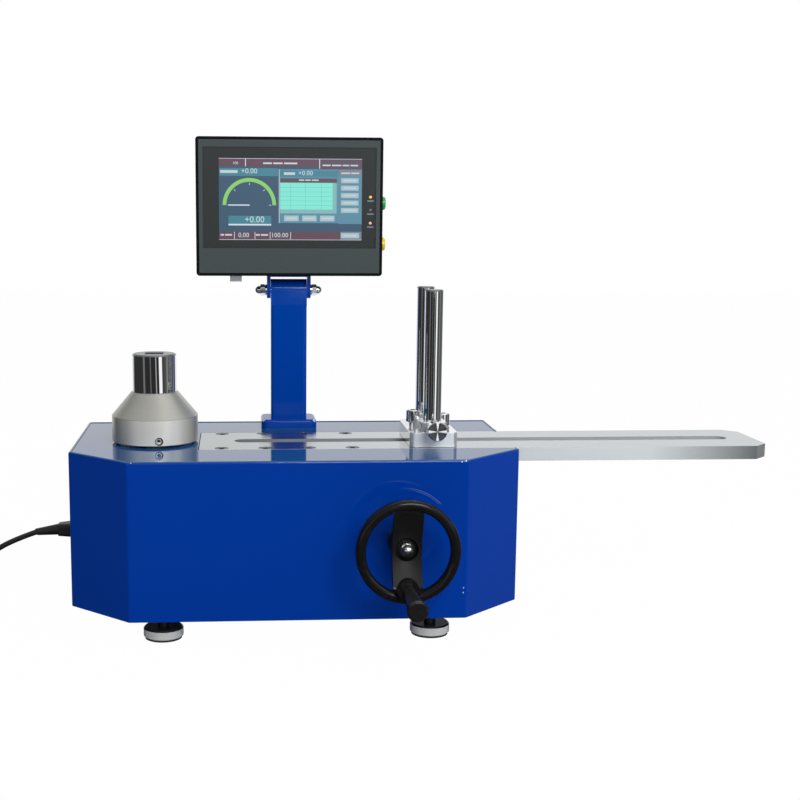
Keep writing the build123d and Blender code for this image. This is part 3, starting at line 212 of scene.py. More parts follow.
def spread(tree, value, low, high, lowTo=0, highTo=1):
    node = tree.nodes.new("ShaderNodeMapRange")
    for label, given in (("Value", value), ("From Min", low), ("From Max", high), ("To Min", lowTo),
                         ("To Max", highTo)):
        feed(tree, given, node.inputs[label])
    return node.outputs["Result"]


def mixValues(tree, factor, first, second, kind="FLOAT"):
    mix = tree.nodes.new("ShaderNodeMix")
    mix.data_type = kind
    for label, value in (("Factor", factor), ("A", first), ("B", second)):
        feed(tree, value, mix.inputs[label])
    return mix.outputs["Result"]


def mixColours(tree, factor, *colours):
    first, second = ((*colour, 1) if isinstance(colour, tuple) else colour for colour in colours)
    return mixValues(tree, factor, first, second, "RGBA")


def addNoise(tree, place, scale, detail=2, roughness=0.5):
    noise = tree.nodes.new("ShaderNodeTexNoise")
    for label, value in (("Vector", place), ("Scale", scale), ("Detail", detail), ("Roughness", roughness)):
        feed(tree, value, noise.inputs[label])
    return noise.outputs["Fac"]


def objectPlace(tree):
    return tree.nodes.new("ShaderNodeTexCoord").outputs["Object"]


def splitPlace(tree):
    parts = tree.nodes.new("ShaderNodeSeparateXYZ")
    tree.links.new(objectPlace(tree), parts.inputs[0])
    return parts.outputs


# Distance from the axis that runs through a place along Y
def axisReach(tree, place, middle):
    across = reckon(tree, "SUBTRACT", place["X"], middle.x)
    up = reckon(tree, "SUBTRACT", place["Z"], middle.z)
    squares = reckon(tree, "ADD", reckon(tree, "MULTIPLY", across, across), reckon(tree, "MULTIPLY", up, up))
    return reckon(tree, "SQRT", squares)


def newGroup(name, inputs, output):
    tree = bpy.data.node_groups.new(name, "ShaderNodeTree")
    for label, kind, value in inputs:
        socket = tree.interface.new_socket(name=label, in_out="INPUT", socket_type="NodeSocket" + kind)
        socket.default_value = value
    tree.interface.new_socket(name=output, in_out="OUTPUT", socket_type="NodeSocketFloat")
    return tree, tree.nodes.new("NodeGroupInput").outputs, tree.nodes.new("NodeGroupOutput").inputs


# A group takes its place first and puts out one value
def addGroup(tree, group, place, values):
    node = tree.nodes.new("ShaderNodeGroup")
    node.node_tree = group
    tree.links.new(place, node.inputs[0])
    for label, value in values.items():
        node.inputs[label].default_value = value
    return node.outputs[0]


def addBump(material, height, strength, step):
    tree = material.node_tree
    bump = tree.nodes.new("ShaderNodeBump")
    bump.inputs["Strength"].default_value = strength
    bump.inputs["Distance"].default_value = step * mm
    tree.links.new(height, bump.inputs["Height"])
    tree.links.new(bump.outputs["Normal"], shaderOf(material).inputs["Normal"])


# Patterns that several finishes share. Most values of a noise lie in its usual range
pattern = {
    "usual": (0.3, 0.7),
    "streakDetail": 4,
    "streakRoughness": 0.7,
    "speckDetail": 3,
    "speckTop": 0.95,
    "chipScale": 900,
    "chipRagged": 2.4,
    "ringScale": 24,
    "ringBroken": (0.3, 0.5),
}


# Streaks that run one way over the metal, as a grinding belt or lathe tool leaves them
def makeStreakGroup():
    tree, given, result = newGroup("toolStreaks", [
        ("Vector", "Vector", (0, 0, 0)), ("Stretch", "Vector", (1, 60, 60)),
        ("Scale", "Float", 20)], "Streaks")
    place = reckonVector(tree, "MULTIPLY", given["Vector"], given["Stretch"])
    streaks = addNoise(tree, place, given["Scale"], pattern["streakDetail"], pattern["streakRoughness"])
    tree.links.new(streaks, result[0])
    return tree


# Fine scattered specks: dust on dark plastic, grain of a lit screen
def makeSpeckGroup():
    tree, given, result = newGroup("fineSpecks", [
        ("Vector", "Vector", (0, 0, 0)), ("Scale", "Float", 300), ("Amount", "Float", 0.35)], "Specks")
    noise = addNoise(tree, given["Vector"], given["Scale"], pattern["speckDetail"])
    least = reckon(tree, "SUBTRACT", pattern["speckTop"], given["Amount"])
    tree.links.new(spread(tree, noise, least, pattern["speckTop"]), result[0])
    return tree


# A small ragged spot round a place, such as a chip in the enamel with its painted glint
def makeSpotGroup():
    tree, given, result = newGroup("raggedSpot", [
        ("Vector", "Vector", (0, 0, 0)), ("Centre", "Vector", (0, 0, 0)), ("Radius", "Float", 0.002)], "Mask")
    noise = addNoise(tree, given["Vector"], pattern["chipScale"])
    gap = reckonVector(tree, "DISTANCE", given["Vector"], given["Centre"])
    ragged = reckon(tree, "MULTIPLY_ADD", noise, pattern["chipRagged"] * mm, gap)
    tree.links.new(reckon(tree, "LESS_THAN", ragged, given["Radius"]), result[0])
    return tree


# A broken hair-thin ring on the front panel, as turning parts leave it
def makeRingGroup():
    tree, given, result = newGroup("rubbedRing", [
        ("Vector", "Vector", (0, 0, 0)), ("Centre", "Vector", (0, 0, 0)), ("Radius", "Float", 0.06),
        ("Width", "Float", 0.0003)], "Mask")
    gap = reckonVector(tree, "DISTANCE", given["Vector"], given["Centre"])
    near = reckon(tree, "COMPARE", gap, given["Radius"], given["Width"])
    broken = spread(tree, addNoise(tree, given["Vector"], pattern["ringScale"]), *pattern["ringBroken"])
    tree.links.new(reckon(tree, "MULTIPLY", near, broken), result[0])
    return tree


streakGroup = makeStreakGroup()
speckGroup = makeSpeckGroup()
spotGroup = makeSpotGroup()
ringGroup = makeRingGroup()

# Gloss enamel of the casing and the display post, with faint orange peel, a painted paler tint on its top for
# the sheen seen there, chips with painted glints on corners and edges, and rubbed rings
paint = {
    "cloudScale": 6,
    "roughness": (0.05, 0.08),
    "peelScale": 160,
    "peelDepth": 0.012,
    "peelStep": 1.0,
    # Painted sheen: paler tint of the top faces, standing in for the grazing reflection they show
    "rim": (0.012, 0.075, 0.225),
    "rimFrom": 183.6,
    "rimTo": 184.8,
    # Pale colour of the spots: bare metal of chipped enamel, and painted glints where light catches corners
    # and edges
    "chipAndGlint": (0.5, 0.66, 0.82),
    "chips": [(-163, -125, 184.6, 2.2), (-96.5, -125, 184.6, 1.7), (-60, -125, 184.6, 1.5),
              (164, -125.5, 184.4, 2.5), (160, -125, 182.8, 1.6), (-30, 74, 194, 3.2), (27, 73, 194, 3.4),
              (17.5, 80, 212, 1.8), (-229, 30, 184.5, 1.8), (164, -125, 50, 1.7),
              (164.4, -125, 55, 1.4)],
    "rings": [(52.5, 0.4), (50.9, 0.25)],
    "ringMiddle": (102.0, -125.0, 104.5),
    "ringFade": 5.0,
    "ringHigh": 36.0,
    "ringSeen": 0.14,
}


def wearAndGlintMask(tree, place, parts):
    worn = 0.0
    # Chipped enamel with painted glints on corners and edges, then the rubbed rings
    for x, y, z, radius in paint["chips"]:
        chip = addGroup(tree, spotGroup, place, {"Centre": framePoint(x, y, z), "Radius": radius * mm})
        worn = reckon(tree, "MAXIMUM", worn, chip)
    middle = framePoint(*paint["ringMiddle"])
    fade = paint["ringFade"] * mm
    right = spread(tree, parts["X"], middle.x - fade, middle.x + fade)
    upper = reckon(tree, "GREATER_THAN", parts["Z"], middle.z + paint["ringHigh"] * mm)
    seen = reckon(tree, "MULTIPLY", reckon(tree, "MULTIPLY", right, upper), paint["ringSeen"])
    for radius, width in paint["rings"]:
        ring = addGroup(tree, ringGroup, place,
                        {"Centre": middle, "Radius": radius * mm, "Width": width * mm})
        worn = reckon(tree, "MAXIMUM", worn, reckon(tree, "MULTIPLY", ring, seen))
    return worn


def makePaint(name, colour, deep, shine):
    material, tree = newMaterial(name)
    shader = shaderOf(material)
    place = objectPlace(tree)
    parts = splitPlace(tree)
    cloud = addNoise(tree, place, paint["cloudScale"])
    # Painted sheen: the top faces between these heights get a paler tint in place of their grazing reflection
    rim = reckon(tree, "MULTIPLY", reckon(tree, "GREATER_THAN", parts["Z"], paint["rimFrom"] * mm),
                 reckon(tree, "LESS_THAN", parts["Z"], paint["rimTo"] * mm))
    tone = mixColours(tree, rim, mixColours(tree, cloud, deep, colour), paint["rim"])
    # worn holds chipped enamel, painted glints and rubbed rings
    worn = wearAndGlintMask(tree, place, parts)
    tree.links.new(mixColours(tree, worn, tone, paint["chipAndGlint"]), shader.inputs["Base Color"])
    tree.links.new(spread(tree, cloud, *pattern["usual"], *paint["roughness"]), shader.inputs["Roughness"])
    addBump(material, addNoise(tree, place, paint["peelScale"]), paint["peelDepth"], paint["peelStep"])
    shader.inputs["Specular IOR Level"].default_value = shine
    return material


# Streaks run along the axis that stays 1, and the larger numbers pack them closer across it
metal = {"step": 0.5, "even": (1, 1, 1), "alongX": (1, 60, 60), "alongY": (60, 1, 60), "turned": (1, 1, 80)}


def makeMetal(name, colour, deep, roughness, stretch=metal["even"], scale=30, depth=0.0, metallic=1):
    material, tree = newMaterial(name)
    shader = shaderOf(material)
    streaks = addGroup(tree, streakGroup, objectPlace(tree), {"Stretch": stretch, "Scale": scale})
    tree.links.new(mixColours(tree, streaks, deep, colour), shader.inputs["Base Color"])
    tree.links.new(spread(tree, streaks, *pattern["usual"], *roughness), shader.inputs["Roughness"])
    addBump(material, streaks, depth, metal["step"])
    shader.inputs["Metallic"].default_value = metallic
    return material


plastic = {"step": 0.3, "dust": 0.4, "grainFiner": 2, "softShine": 0.2}


def makePlastic(name, colour, worn, roughness, scale, grain):
    material, tree = newMaterial(name)
    shader = shaderOf(material)
    place = objectPlace(tree)
    specks = addGroup(tree, speckGroup, place, {"Scale": scale, "Amount": plastic["dust"]})
    tree.links.new(mixColours(tree, specks, colour, worn), shader.inputs["Base Color"])
    texture = addNoise(tree, place, scale * plastic["grainFiner"])
    tree.links.new(spread(tree, texture, *pattern["usual"], *roughness), shader.inputs["Roughness"])
    addBump(material, texture, grain, plastic["step"])
    return material


# Blend a second finish into a material where a mask is 1: its colour, how metallic it is, and its roughness
def blendFinish(material, mask, colour, metallic, roughness):
    shader = shaderOf(material)
    for label, value, mix in (("Base Color", colour, mixColours), ("Metallic", metallic, mixValues),
                              ("Roughness", roughness, mixValues)):
        socket = shader.inputs[label]
        below = socket.links[0].from_socket if socket.is_linked else socket.default_value
        material.node_tree.links.new(mix(material.node_tree, mask, below, value), socket)


# Ground bar with rougher milled walls in its slot, a shaded left top, a painted highlight along its front
# edge that turns into a painted dark reflection toward the right end, and a cut right end
armLook = {
    "steel": ((0.5, 0.54, 0.56), (0.4, 0.43, 0.45), (0.14, 0.24)),
    "streaks": (14, 0.03),
    "slotMiddle": (0, -4, 183.8),
    "slotHalf": 10.3,
    "slot": ((0.34, 0.37, 0.38), 0.1, 0.5),
    "shadeSpan": (20.0, 240.0),
    "shadeSeen": 0.55,
    "shade": ((0.26, 0.28, 0.29), 1, 0.24),
    "frontDepth": 0.4,
    "front": ((0.68, 0.73, 0.75), 0.4, 0.35),
    "darkFrontSpan": (130.0, 16.0),
    "darkFrontSeen": 0.9,
    "end": ((0.07, 0.08, 0.09), 0.3, 0.35),
    "cutLength": 14.4,
    "cutDepth": 0.3,
    "cut": ((0.19, 0.195, 0.19), 0.1, 0.45),
}


def makeArmFinish():
    material = makeMetal("groundSteel", *armLook["steel"], metal["alongX"], *armLook["streaks"])
    tree = material.node_tree
    place = splitPlace(tree)
    low, high = cornersOf("slotted_arm")
    middle = framePoint(*armLook["slotMiddle"])
    offset = reckon(tree, "ABSOLUTE", reckon(tree, "SUBTRACT", place["Y"], middle.y))
    slot = reckon(tree, "MULTIPLY", reckon(tree, "LESS_THAN", offset, armLook["slotHalf"] * mm),
                  reckon(tree, "LESS_THAN", place["Z"], middle.z))
    blendFinish(material, slot, *armLook["slot"])
    near, far = armLook["shadeSpan"]
    shade = spread(tree, place["X"], low.x + near * mm, low.x + far * mm, armLook["shadeSeen"], 0)
    blendFinish(material, shade, *armLook["shade"])
    # Painted highlight along the front edge, in place of the light it reflects
    front = reckon(tree, "LESS_THAN", place["Y"], low.y + armLook["frontDepth"] * mm)
    blendFinish(material, front, *armLook["front"])
    # Painted dark reflection on the front edge, growing toward the right end
    far, near = armLook["darkFrontSpan"]
    end = spread(tree, place["X"], high.x - far * mm, high.x - near * mm, 0, armLook["darkFrontSeen"])
    blendFinish(material, reckon(tree, "MULTIPLY", front, end), *armLook["end"])
    beyond = reckon(tree, "GREATER_THAN", place["X"], high.x - armLook["cutLength"] * mm)
    below = reckon(tree, "LESS_THAN", place["Z"], high.z - armLook["cutDepth"] * mm)
    blendFinish(material, reckon(tree, "MULTIPLY", beyond, below), *armLook["cut"])
    return material


# Bright carriage whose front face is rougher and painted lighter, a painted highlight in place of the
# chrome's reflection there
carriageLook = {
    "chrome": ((0.86, 0.87, 0.88), (0.78, 0.79, 0.8), (0.03, 0.08)),
    "metallic": 0.7,
    "frontDepth": 0.5,
    "front": ((0.8, 0.83, 0.86), 0.2, 0.25),
}


def makeCarriageFinish():
    material = makeMetal("carriageChrome", *carriageLook["chrome"], metallic=carriageLook["metallic"])
    tree = material.node_tree
    # Painted highlight: the front face is lighter and less metallic
    front = reckon(tree, "LESS_THAN", splitPlace(tree)["Y"],
                   cornersOf("carriage")[0].y + carriageLook["frontDepth"] * mm)
    blendFinish(material, front, *carriageLook["front"])
    return material


# Mirror chrome, and the ground top end of an upright bar
chromeTones = ((0.78, 0.79, 0.8), (0.7, 0.71, 0.72))
mirror = (0.02, 0.05)
topEnd = {"depth": 1.6, "ground": ((0.17, 0.18, 0.185), 0.6, 0.3)}


def makeEndFinish(name, part):
    material = makeMetal(name, *chromeTones, mirror)
    tree = material.node_tree
    end = reckon(tree, "GREATER_THAN", splitPlace(tree)["Z"], cornersOf(part)[1].z - topEnd["depth"] * mm)
    blendFinish(material, end, *topEnd["ground"])
    return material


# Turned housing whose skirt is a little smoother than its cone and painted lighter for the sheen it shows,
# with painted shade where it curves away
housingLook = {
    "aluminium": ((0.5, 0.5, 0.455), (0.4, 0.4, 0.365), (0.3, 0.4)),
    "stretch": (1, 1, 160),
    "streaks": (12, 0.05),
    "metallic": 0.6,
    "skirtHigh": 26.5,
    "skirt": ((0.88, 0.87, 0.8), 0.5, 0.3),
    "sideFacing": (0.1, 0.6),
    "sideSeen": 0.6,
    "side": ((0.24, 0.24, 0.23), 0.7, 0.3),
}


def makeHousingFinish():
    material = makeMetal("turnedAluminium", *housingLook["aluminium"], housingLook["stretch"],
                         *housingLook["streaks"], housingLook["metallic"])
    tree = material.node_tree
    # The skirt is painted lighter, a painted sheen
    skirt = reckon(tree, "LESS_THAN", splitPlace(tree)["Z"],
                   cornersOf("transducer_housing")[0].z + housingLook["skirtHigh"] * mm)
    blendFinish(material, skirt, *housingLook["skirt"])
    # Painted shade where the skirt curves away from view
    facing = tree.nodes.new("ShaderNodeLayerWeight").outputs["Facing"]
    side = spread(tree, facing, *housingLook["sideFacing"], 0, housingLook["sideSeen"])
    blendFinish(material, reckon(tree, "MULTIPLY", skirt, side), *housingLook["side"])
    return material


# Screw end with painted shade for the gap round it and for its socket, as shares of its radius
screwLook = {
    "steel": ((0.7, 0.7, 0.7), (0.6, 0.6, 0.6), (0.2, 0.3)),
    "scale": 60,
    "gap": 0.74,
    "socket": 0.36,
    "dark": ((0.01, 0.01, 0.012), 0.2, 0.4),
}


def makeScrewFinish():
    material = makeMetal("screwSteel", *screwLook["steel"], scale=screwLook["scale"])
    tree = material.node_tree
    low, high = cornersOf("housing_screw")
    reach = axisReach(tree, splitPlace(tree), (low + high) / 2)
    half = (high.z - low.z) / 2
    # Painted shade in the gap round the screw and in its socket
    dark = reckon(tree, "MAXIMUM", reckon(tree, "GREATER_THAN", reach, screwLook["gap"] * half),
                  reckon(tree, "LESS_THAN", reach, screwLook["socket"] * half))
    blendFinish(material, dark, *screwLook["dark"])
    return material


# Gloss black enamel, and the wheel's satin web
glossBlack = ((0.006, 0.006, 0.006), (0.014, 0.014, 0.014), (0.12, 0.2), 250, 0.04)
wheelLook = {"webRadius": 36.5, "web": ((0.006, 0.006, 0.006), 0, 0.5), "shine": 0.2}


def makeWheelFinish():
    material = makePlastic("wheelBlack", *glossBlack)
    tree = material.node_tree
    low, high = cornersOf("handwheel")
    reach = axisReach(tree, splitPlace(tree), (low + high) / 2)
    blendFinish(material, reckon(tree, "LESS_THAN", reach, wheelLook["webRadius"] * mm), *wheelLook["web"])
    shaderOf(material).inputs["Specular IOR Level"].default_value = wheelLook["shine"]
    return material


# Bright discs of the feet, between their rubber pads and painted shade on their tops and studs under the
# casing
footLook = {
    "metal": ((0.92, 0.95, 0.93), (0.7, 0.73, 0.71), (0.12, 0.24)),
    "streaks": (20, 0.05),
    "metallic": 0.45,
    "padTop": 2.05,
    "pad": ((0.012, 0.012, 0.012), 0, 0.6),
    "discTop": 10.4,
    "stud": ((0.05, 0.052, 0.052), 0.8, 0.3),
}


def makeFootFinish():
    material = makeMetal("footMetal", *footLook["metal"], metal["turned"], *footLook["streaks"],
                         footLook["metallic"])
    tree = material.node_tree
    height = splitPlace(tree)["Z"]
    blendFinish(material, reckon(tree, "LESS_THAN", height, footLook["padTop"] * mm), *footLook["pad"])
    # Painted shade on the disc tops and studs, under the casing
    blendFinish(material, reckon(tree, "GREATER_THAN", height, footLook["discTop"] * mm), *footLook["stud"])
    return material


# Soft black plastic, and the plug's bright blades in front of its face
softPlastic = ((0.012, 0.012, 0.013), (0.02, 0.02, 0.02), (0.4, 0.55), 400, 0.1)
plugLook = {"face": 81, "blades": ((0.62, 0.6, 0.55), 1, 0.25)}


def makePlugFinish():
    material = makePlastic("plugPlastic", *softPlastic)
    tree = material.node_tree
    face = framePoint(0, coilMiddle()[1] - plugLook["face"], 0).y
    blendFinish(material, reckon(tree, "LESS_THAN", splitPlace(tree)["Y"], face), *plugLook["blades"])
    return material


# Knob whose turned end carries a painted four-pointed glint, light and dark wedges that stand in for its
# reflection
knobLook = {
    "roughness": (0.05, 0.12),
    "endMiddle": (143.5, -72.6, 203.9),
    "points": 4,
    "glintShadeWave": (-0.7, 0.5),
    "glintShadeSeen": 0.85,
    "dark": ((0.12, 0.13, 0.14), 1, 0.3),
    "glintLightWave": (0.6, 1.0),
    "bright": ((0.9, 0.9, 0.9), 0, 0.4),
}


def makeKnobFinish():
    material = makeMetal("knobChrome", *chromeTones, knobLook["roughness"])
    tree = material.node_tree
    place = splitPlace(tree)
    middle = framePoint(*knobLook["endMiddle"])
    end = reckon(tree, "LESS_THAN", place["Y"], middle.y)
    angle = reckon(tree, "ARCTAN2", reckon(tree, "SUBTRACT", place["X"], middle.x),
                   reckon(tree, "SUBTRACT", place["Z"], middle.z))
    wave = reckon(tree, "COSINE", reckon(tree, "MULTIPLY", angle, knobLook["points"]))
    # Painted reflection: dark wedges and light wedges round the middle of the end
    dark = spread(tree, wave, *knobLook["glintShadeWave"], knobLook["glintShadeSeen"], 0)
    blendFinish(material, reckon(tree, "MULTIPLY", end, dark), *knobLook["dark"])
    bright = spread(tree, wave, *knobLook["glintLightWave"])
    blendFinish(material, reckon(tree, "MULTIPLY", end, bright), *knobLook["bright"])
    return material


# Bright cap nut on a dark washer, which is the back half of the piece
nutLook = {"roughness": (0.03, 0.08), "washer": ((0.03, 0.03, 0.03), 0.5, 0.3)}


def makeNutFinish():
    material = makeMetal("nutChrome", *chromeTones, nutLook["roughness"])
    tree = material.node_tree
    low, high = cornersOf("wheel_nut")
    washer = reckon(tree, "GREATER_THAN", splitPlace(tree)["Y"], (low.y + high.y) / 2)
    blendFinish(material, washer, *nutLook["washer"])
    return material


# Grey frame of the display with a black outer edge
frameLook = {
    "grey": ((0.055, 0.069, 0.072), (0.065, 0.079, 0.082), (0.42, 0.5), 900, 0.12),
    "edgeWidth": 3.2,
    "edge": ((0.003, 0.003, 0.003), 0, 0.6),
    "shine": 0.08,
}


def makeFrameFinish():
    material = makePlastic("frameGrey", *frameLook["grey"])
    tree = material.node_tree
    place = splitPlace(tree)
    low, high = cornersOf("display_bezel")
    middle = (low + high) / 2
    reach = (high - low) / 2
    edge = frameLook["edgeWidth"] * mm
    far = 0.0
    for axis, centre, half in (("X", middle.x, reach.x - edge), ("Z", middle.z, reach.z - edge)):
        offset = reckon(tree, "ABSOLUTE", reckon(tree, "SUBTRACT", place[axis], centre))
        far = reckon(tree, "MAXIMUM", far, reckon(tree, "GREATER_THAN", offset, half))
    blendFinish(material, far, *frameLook["edge"])
    shaderOf(material).inputs["Specular IOR Level"].default_value = frameLook["shine"]
    return material


# Each finish: its colour and a second tone, then its shine, or its roughness, pattern scale and pattern depth
blueEnamel = makePaint("blueEnamel", (0.0, 0.035, 0.292), (0.0, 0.032, 0.268), 0.36)
postEnamel = makePaint("postEnamel", (0.0, 0.047, 0.34), (0.0, 0.043, 0.31), 0.14)
groundSteel = makeArmFinish()
chromePlate = makeMetal("chromePlate", *chromeTones, mirror)
carriageChrome = makeCarriageFinish()
adapterChrome = makeEndFinish("adapterChrome", "drive_adapter")
postChrome = makeEndFinish("postChrome", "reaction_posts")
turnedAluminium = makeHousingFinish()
screwSteel = makeScrewFinish()
wheelBlack = makeWheelFinish()
darkOxide = makeMetal("darkOxide", (0.16, 0.16, 0.17), (0.1, 0.1, 0.11), (0.25, 0.4), scale=200, depth=0.05)
machinedSteel = makeMetal("machinedSteel", (0.55, 0.55, 0.55), (0.45, 0.45, 0.46), (0.2, 0.3),
                          metal["alongY"], 16, 0.05)
bronze = makeMetal("bronze", (0.6, 0.38, 0.16), (0.5, 0.3, 0.12), (0.2, 0.35), metal["alongX"], 20, 0.05)
platedSteel = makeMetal("platedSteel", (0.62, 0.62, 0.6), (0.5, 0.5, 0.48), (0.15, 0.3),
                        metal["turned"], 20, 0.05)
blackEnamel = makePlastic("blackEnamel", *glossBlack)
gripPlastic = makePlastic("gripPlastic", (0.008, 0.008, 0.009), (0.016, 0.016, 0.016), (0.16, 0.24),
                          300, 0.03)
frameGrey = makeFrameFinish()
footMetal = makeFootFinish()
plugPlastic = makePlugFinish()
knobChrome = makeKnobFinish()
nutChrome = makeNutFinish()
caseGrey = makePlastic("caseGrey", (0.03, 0.034, 0.036), (0.04, 0.044, 0.046), (0.45, 0.55), 700, 0.15)
overlay = makePlastic("overlay", (0.026, 0.031, 0.031), (0.031, 0.036, 0.036), (0.22, 0.28), 500, 0.02)
shaderOf(overlay).inputs["Specular IOR Level"].default_value = plastic["softShine"]
softBlack = makePlastic("softBlack", *softPlastic)
cordRubber = makePlastic("cordRubber", (0.012, 0.012, 0.012), (0.02, 0.02, 0.02), (0.35, 0.45), 500, 0.08)
connectorGrey = makePlastic("connectorGrey", (0.66, 0.66, 0.7), (0.6, 0.6, 0.64), (0.35, 0.5), 300, 0.04)
castIron = makePlastic("castIron", (0.05, 0.05, 0.055), (0.08, 0.08, 0.08), (0.5, 0.65), 300, 0.4)
boardGreen = makePlastic("boardGreen", (0.01, 0.12, 0.04), (0.02, 0.16, 0.06), (0.35, 0.45), 400, 0.1)
greenCap = makePlastic("greenCap", (0.005, 0.36, 0.06), (0.01, 0.4, 0.08), (0.2, 0.28), 400, 0.02)
yellowCap = makePlastic("yellowCap", (0.72, 0.55, 0.02), (0.76, 0.6, 0.04), (0.2, 0.28), 400, 0.02)

dress(blueEnamel, "chassis_shell", "bottom_cover", "top_plate")
dress(postEnamel, "display_post", "tilt_bracket")
dress(groundSteel, "slotted_arm")
dress(chromePlate, "clamp_screw_left", "clamp_screw_right", "tilt_bolt")
dress(postChrome, "reaction_posts")
dress(carriageChrome, "carriage")
dress(adapterChrome, "drive_adapter")
dress(screwSteel, "housing_screw")
dress(nutChrome, "wheel_nut")
dress(knobChrome, "clamp_knob")
dress(turnedAluminium, "transducer_housing")
dress(darkOxide, "arm_screws", "wheel_bearing", "adapter_screw", "coupling_screws")
dress(machinedSteel, "worm_shaft", "worm_collars", "mitre_drive", "mitre_driven", "output_shaft", "wheel_key",
      "lower_bearing", "upper_bearing", "handwheel_shaft", "transducer_body", "slot_nut", "button_sleeves",
      "post_screws")
dress(connectorGrey, "data_connector")
dress(bronze, "worm_wheel", "worm_bushes")
dress(platedSteel, "foot_jam_nuts", "power_supply")
dress(footMetal, "foot_front_left", "foot_back_left", "foot_front_right", "foot_back_right")
dress(wheelBlack, "handwheel")
dress(blackEnamel, "handle_spindle")
dress(gripPlastic, "handle_grip")
dress(frameGrey, "display_bezel")
dress(caseGrey, "display_case")
dress(overlay, "display_glass")
dress(softBlack, "display_panel", "power_inlet", "lead_connector")
dress(plugPlastic, "mains_plug")
dress(cordRubber, powerCord.name)
dress(castIron, "gear_frame")
dress(boardGreen, "display_board", "signal_board")
dress(greenCap, "green_button")
dress(yellowCap, "yellow_button", "indicator_lights")
print("finishes made")


def finishPiece(name, mesh, body, material, smooth=False):
    data = bpy.data.meshes.new(name)
    bmesh.ops.recalc_face_normals(mesh, faces=mesh.faces)
    mesh.to_mesh(data)
    mesh.free()
    for face in data.polygons:
        face.use_smooth = smooth
    piece = bpy.data.objects.new(name, data)
    bpy.context.collection.objects.link(piece)
    piece.data.materials.append(material)
    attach(piece, body)


def addBlock(mesh, size, middle):
    verts = bmesh.ops.create_cube(mesh, size=1)["verts"]
    bmesh.ops.scale(mesh, vec=size, verts=verts)
    bmesh.ops.translate(mesh, vec=middle, verts=verts)
    return verts


# Strap that holds the put-away turns together
tie = {
    "angle": 25.0,
    "across": 18.8,
    "along": 6.0,
    "high": 12.5,
    "bevel": 4.5,
    "segments": 6,
    "middle": 6.35,
    "straight": 0.9,
}


def makeTie():
    mesh = bmesh.new()  # only the edges that run along Y are rounded
    addBlock(mesh, (tie["across"] * mm, tie["along"] * mm, tie["high"] * mm), (0, 0, 0))
    corners = [edge for edge in mesh.edges
               if abs((edge.verts[0].co - edge.verts[1].co).normalized().y) > tie["straight"]]
    bmesh.ops.bevel(mesh, geom=corners, offset=tie["bevel"] * mm, offset_type="OFFSET",
                    segments=tie["segments"], profile=0.5, affect="EDGES", material=-1)
    turn = Matrix.Rotation(math.radians(tie["angle"]), 4, "Z")
    x, y = coilMiddle()
    bmesh.ops.translate(mesh, vec=(lead["coilRadius"] * mm, 0, 0), verts=mesh.verts)
    place = Matrix.Translation(framePoint(x, y, tie["middle"]))
    bmesh.ops.transform(mesh, matrix=place @ turn, verts=mesh.verts)
    finishPiece("coilStrap", mesh, "casing", softBlack)


makeTie()
print("strap made")

# Screen picture, laid on the overlay in flat tiles. Their places are counted in screen cells from its top
# left corner
screen = {
    "left": -78.0,
    "top": 481.0,
    "width": 155.0,
    "height": 87.0,
    "cellsWide": 1072,
    "cellsHigh": 623,
    "front": 63.0,
    "tile": 0.06,
    "wordLayer": 3,
}
screenColours = {
    "navy": (0.032, 0.082, 0.14),
    "maroon": (0.105, 0.05, 0.08),
    "mauve": (0.09, 0.06, 0.095),
    "lilac": (0.16, 0.2, 0.25),
    "slider": (0.2, 0.42, 0.43),
    "teal": (0.045, 0.2, 0.265),
    "panelTeal": (0.085, 0.23, 0.32),
    "turquoise": (0.2, 0.72, 0.6),
    "tableLine": (0.1, 0.48, 0.45),
    "pale": (0.62, 0.66, 0.72),
    "button": (0.34, 0.47, 0.53),
    "arcGreen": (0.22, 0.56, 0.13),
    "ink": (0.5, 0.56, 0.6),
    "figures": (0.5, 0.64, 0.68),
    "gaugeWhite": (0.55, 0.62, 0.72),
}

# A lit area has fine specks that are a little dimmer, over a base that is nearly black
glow = {
    "specks": {"Scale": 2500, "Amount": 0.6},
    "dimmer": 0.93,
    "unlit": 0.08,
    "strength": 1.0,
    "roughness": 0.3,
}


def makeGlow(name, colour):
    material, tree = newMaterial(name)
    shader = shaderOf(material)
    specks = addGroup(tree, speckGroup, objectPlace(tree), glow["specks"])
    dimmer = tuple(glow["dimmer"] * part for part in colour)
    tree.links.new(mixColours(tree, specks, colour, dimmer), shader.inputs["Emission Color"])
    shader.inputs["Base Color"].default_value = (*[glow["unlit"] * part for part in colour], 1)
    shader.inputs["Emission Strength"].default_value = glow["strength"]
    shader.inputs["Roughness"].default_value = glow["roughness"]
    return material


def finishTiles(name, mesh, material):
    finishPiece(name, mesh, "display", material)


def cell(across, down):
    x = screen["left"] + across * screen["width"] / screen["cellsWide"] - origin["x"]
    z = screen["top"] - down * screen["height"] / screen["cellsHigh"]
    return x * mm, z * mm


def layerFront(layer):
    return (screen["front"] - origin["y"]) * mm - layer * screen["tile"] * mm


def addTile(mesh, across, down, wide, high, layer):
    x0, z0 = cell(across, down)
    x1, z1 = cell(across + wide, down + high)
    middle = Vector(((x0 + x1) / 2, layerFront(layer) - screen["tile"] * mm / 2, (z0 + z1) / 2))
    addBlock(mesh, (x1 - x0, screen["tile"] * mm, z0 - z1), middle)


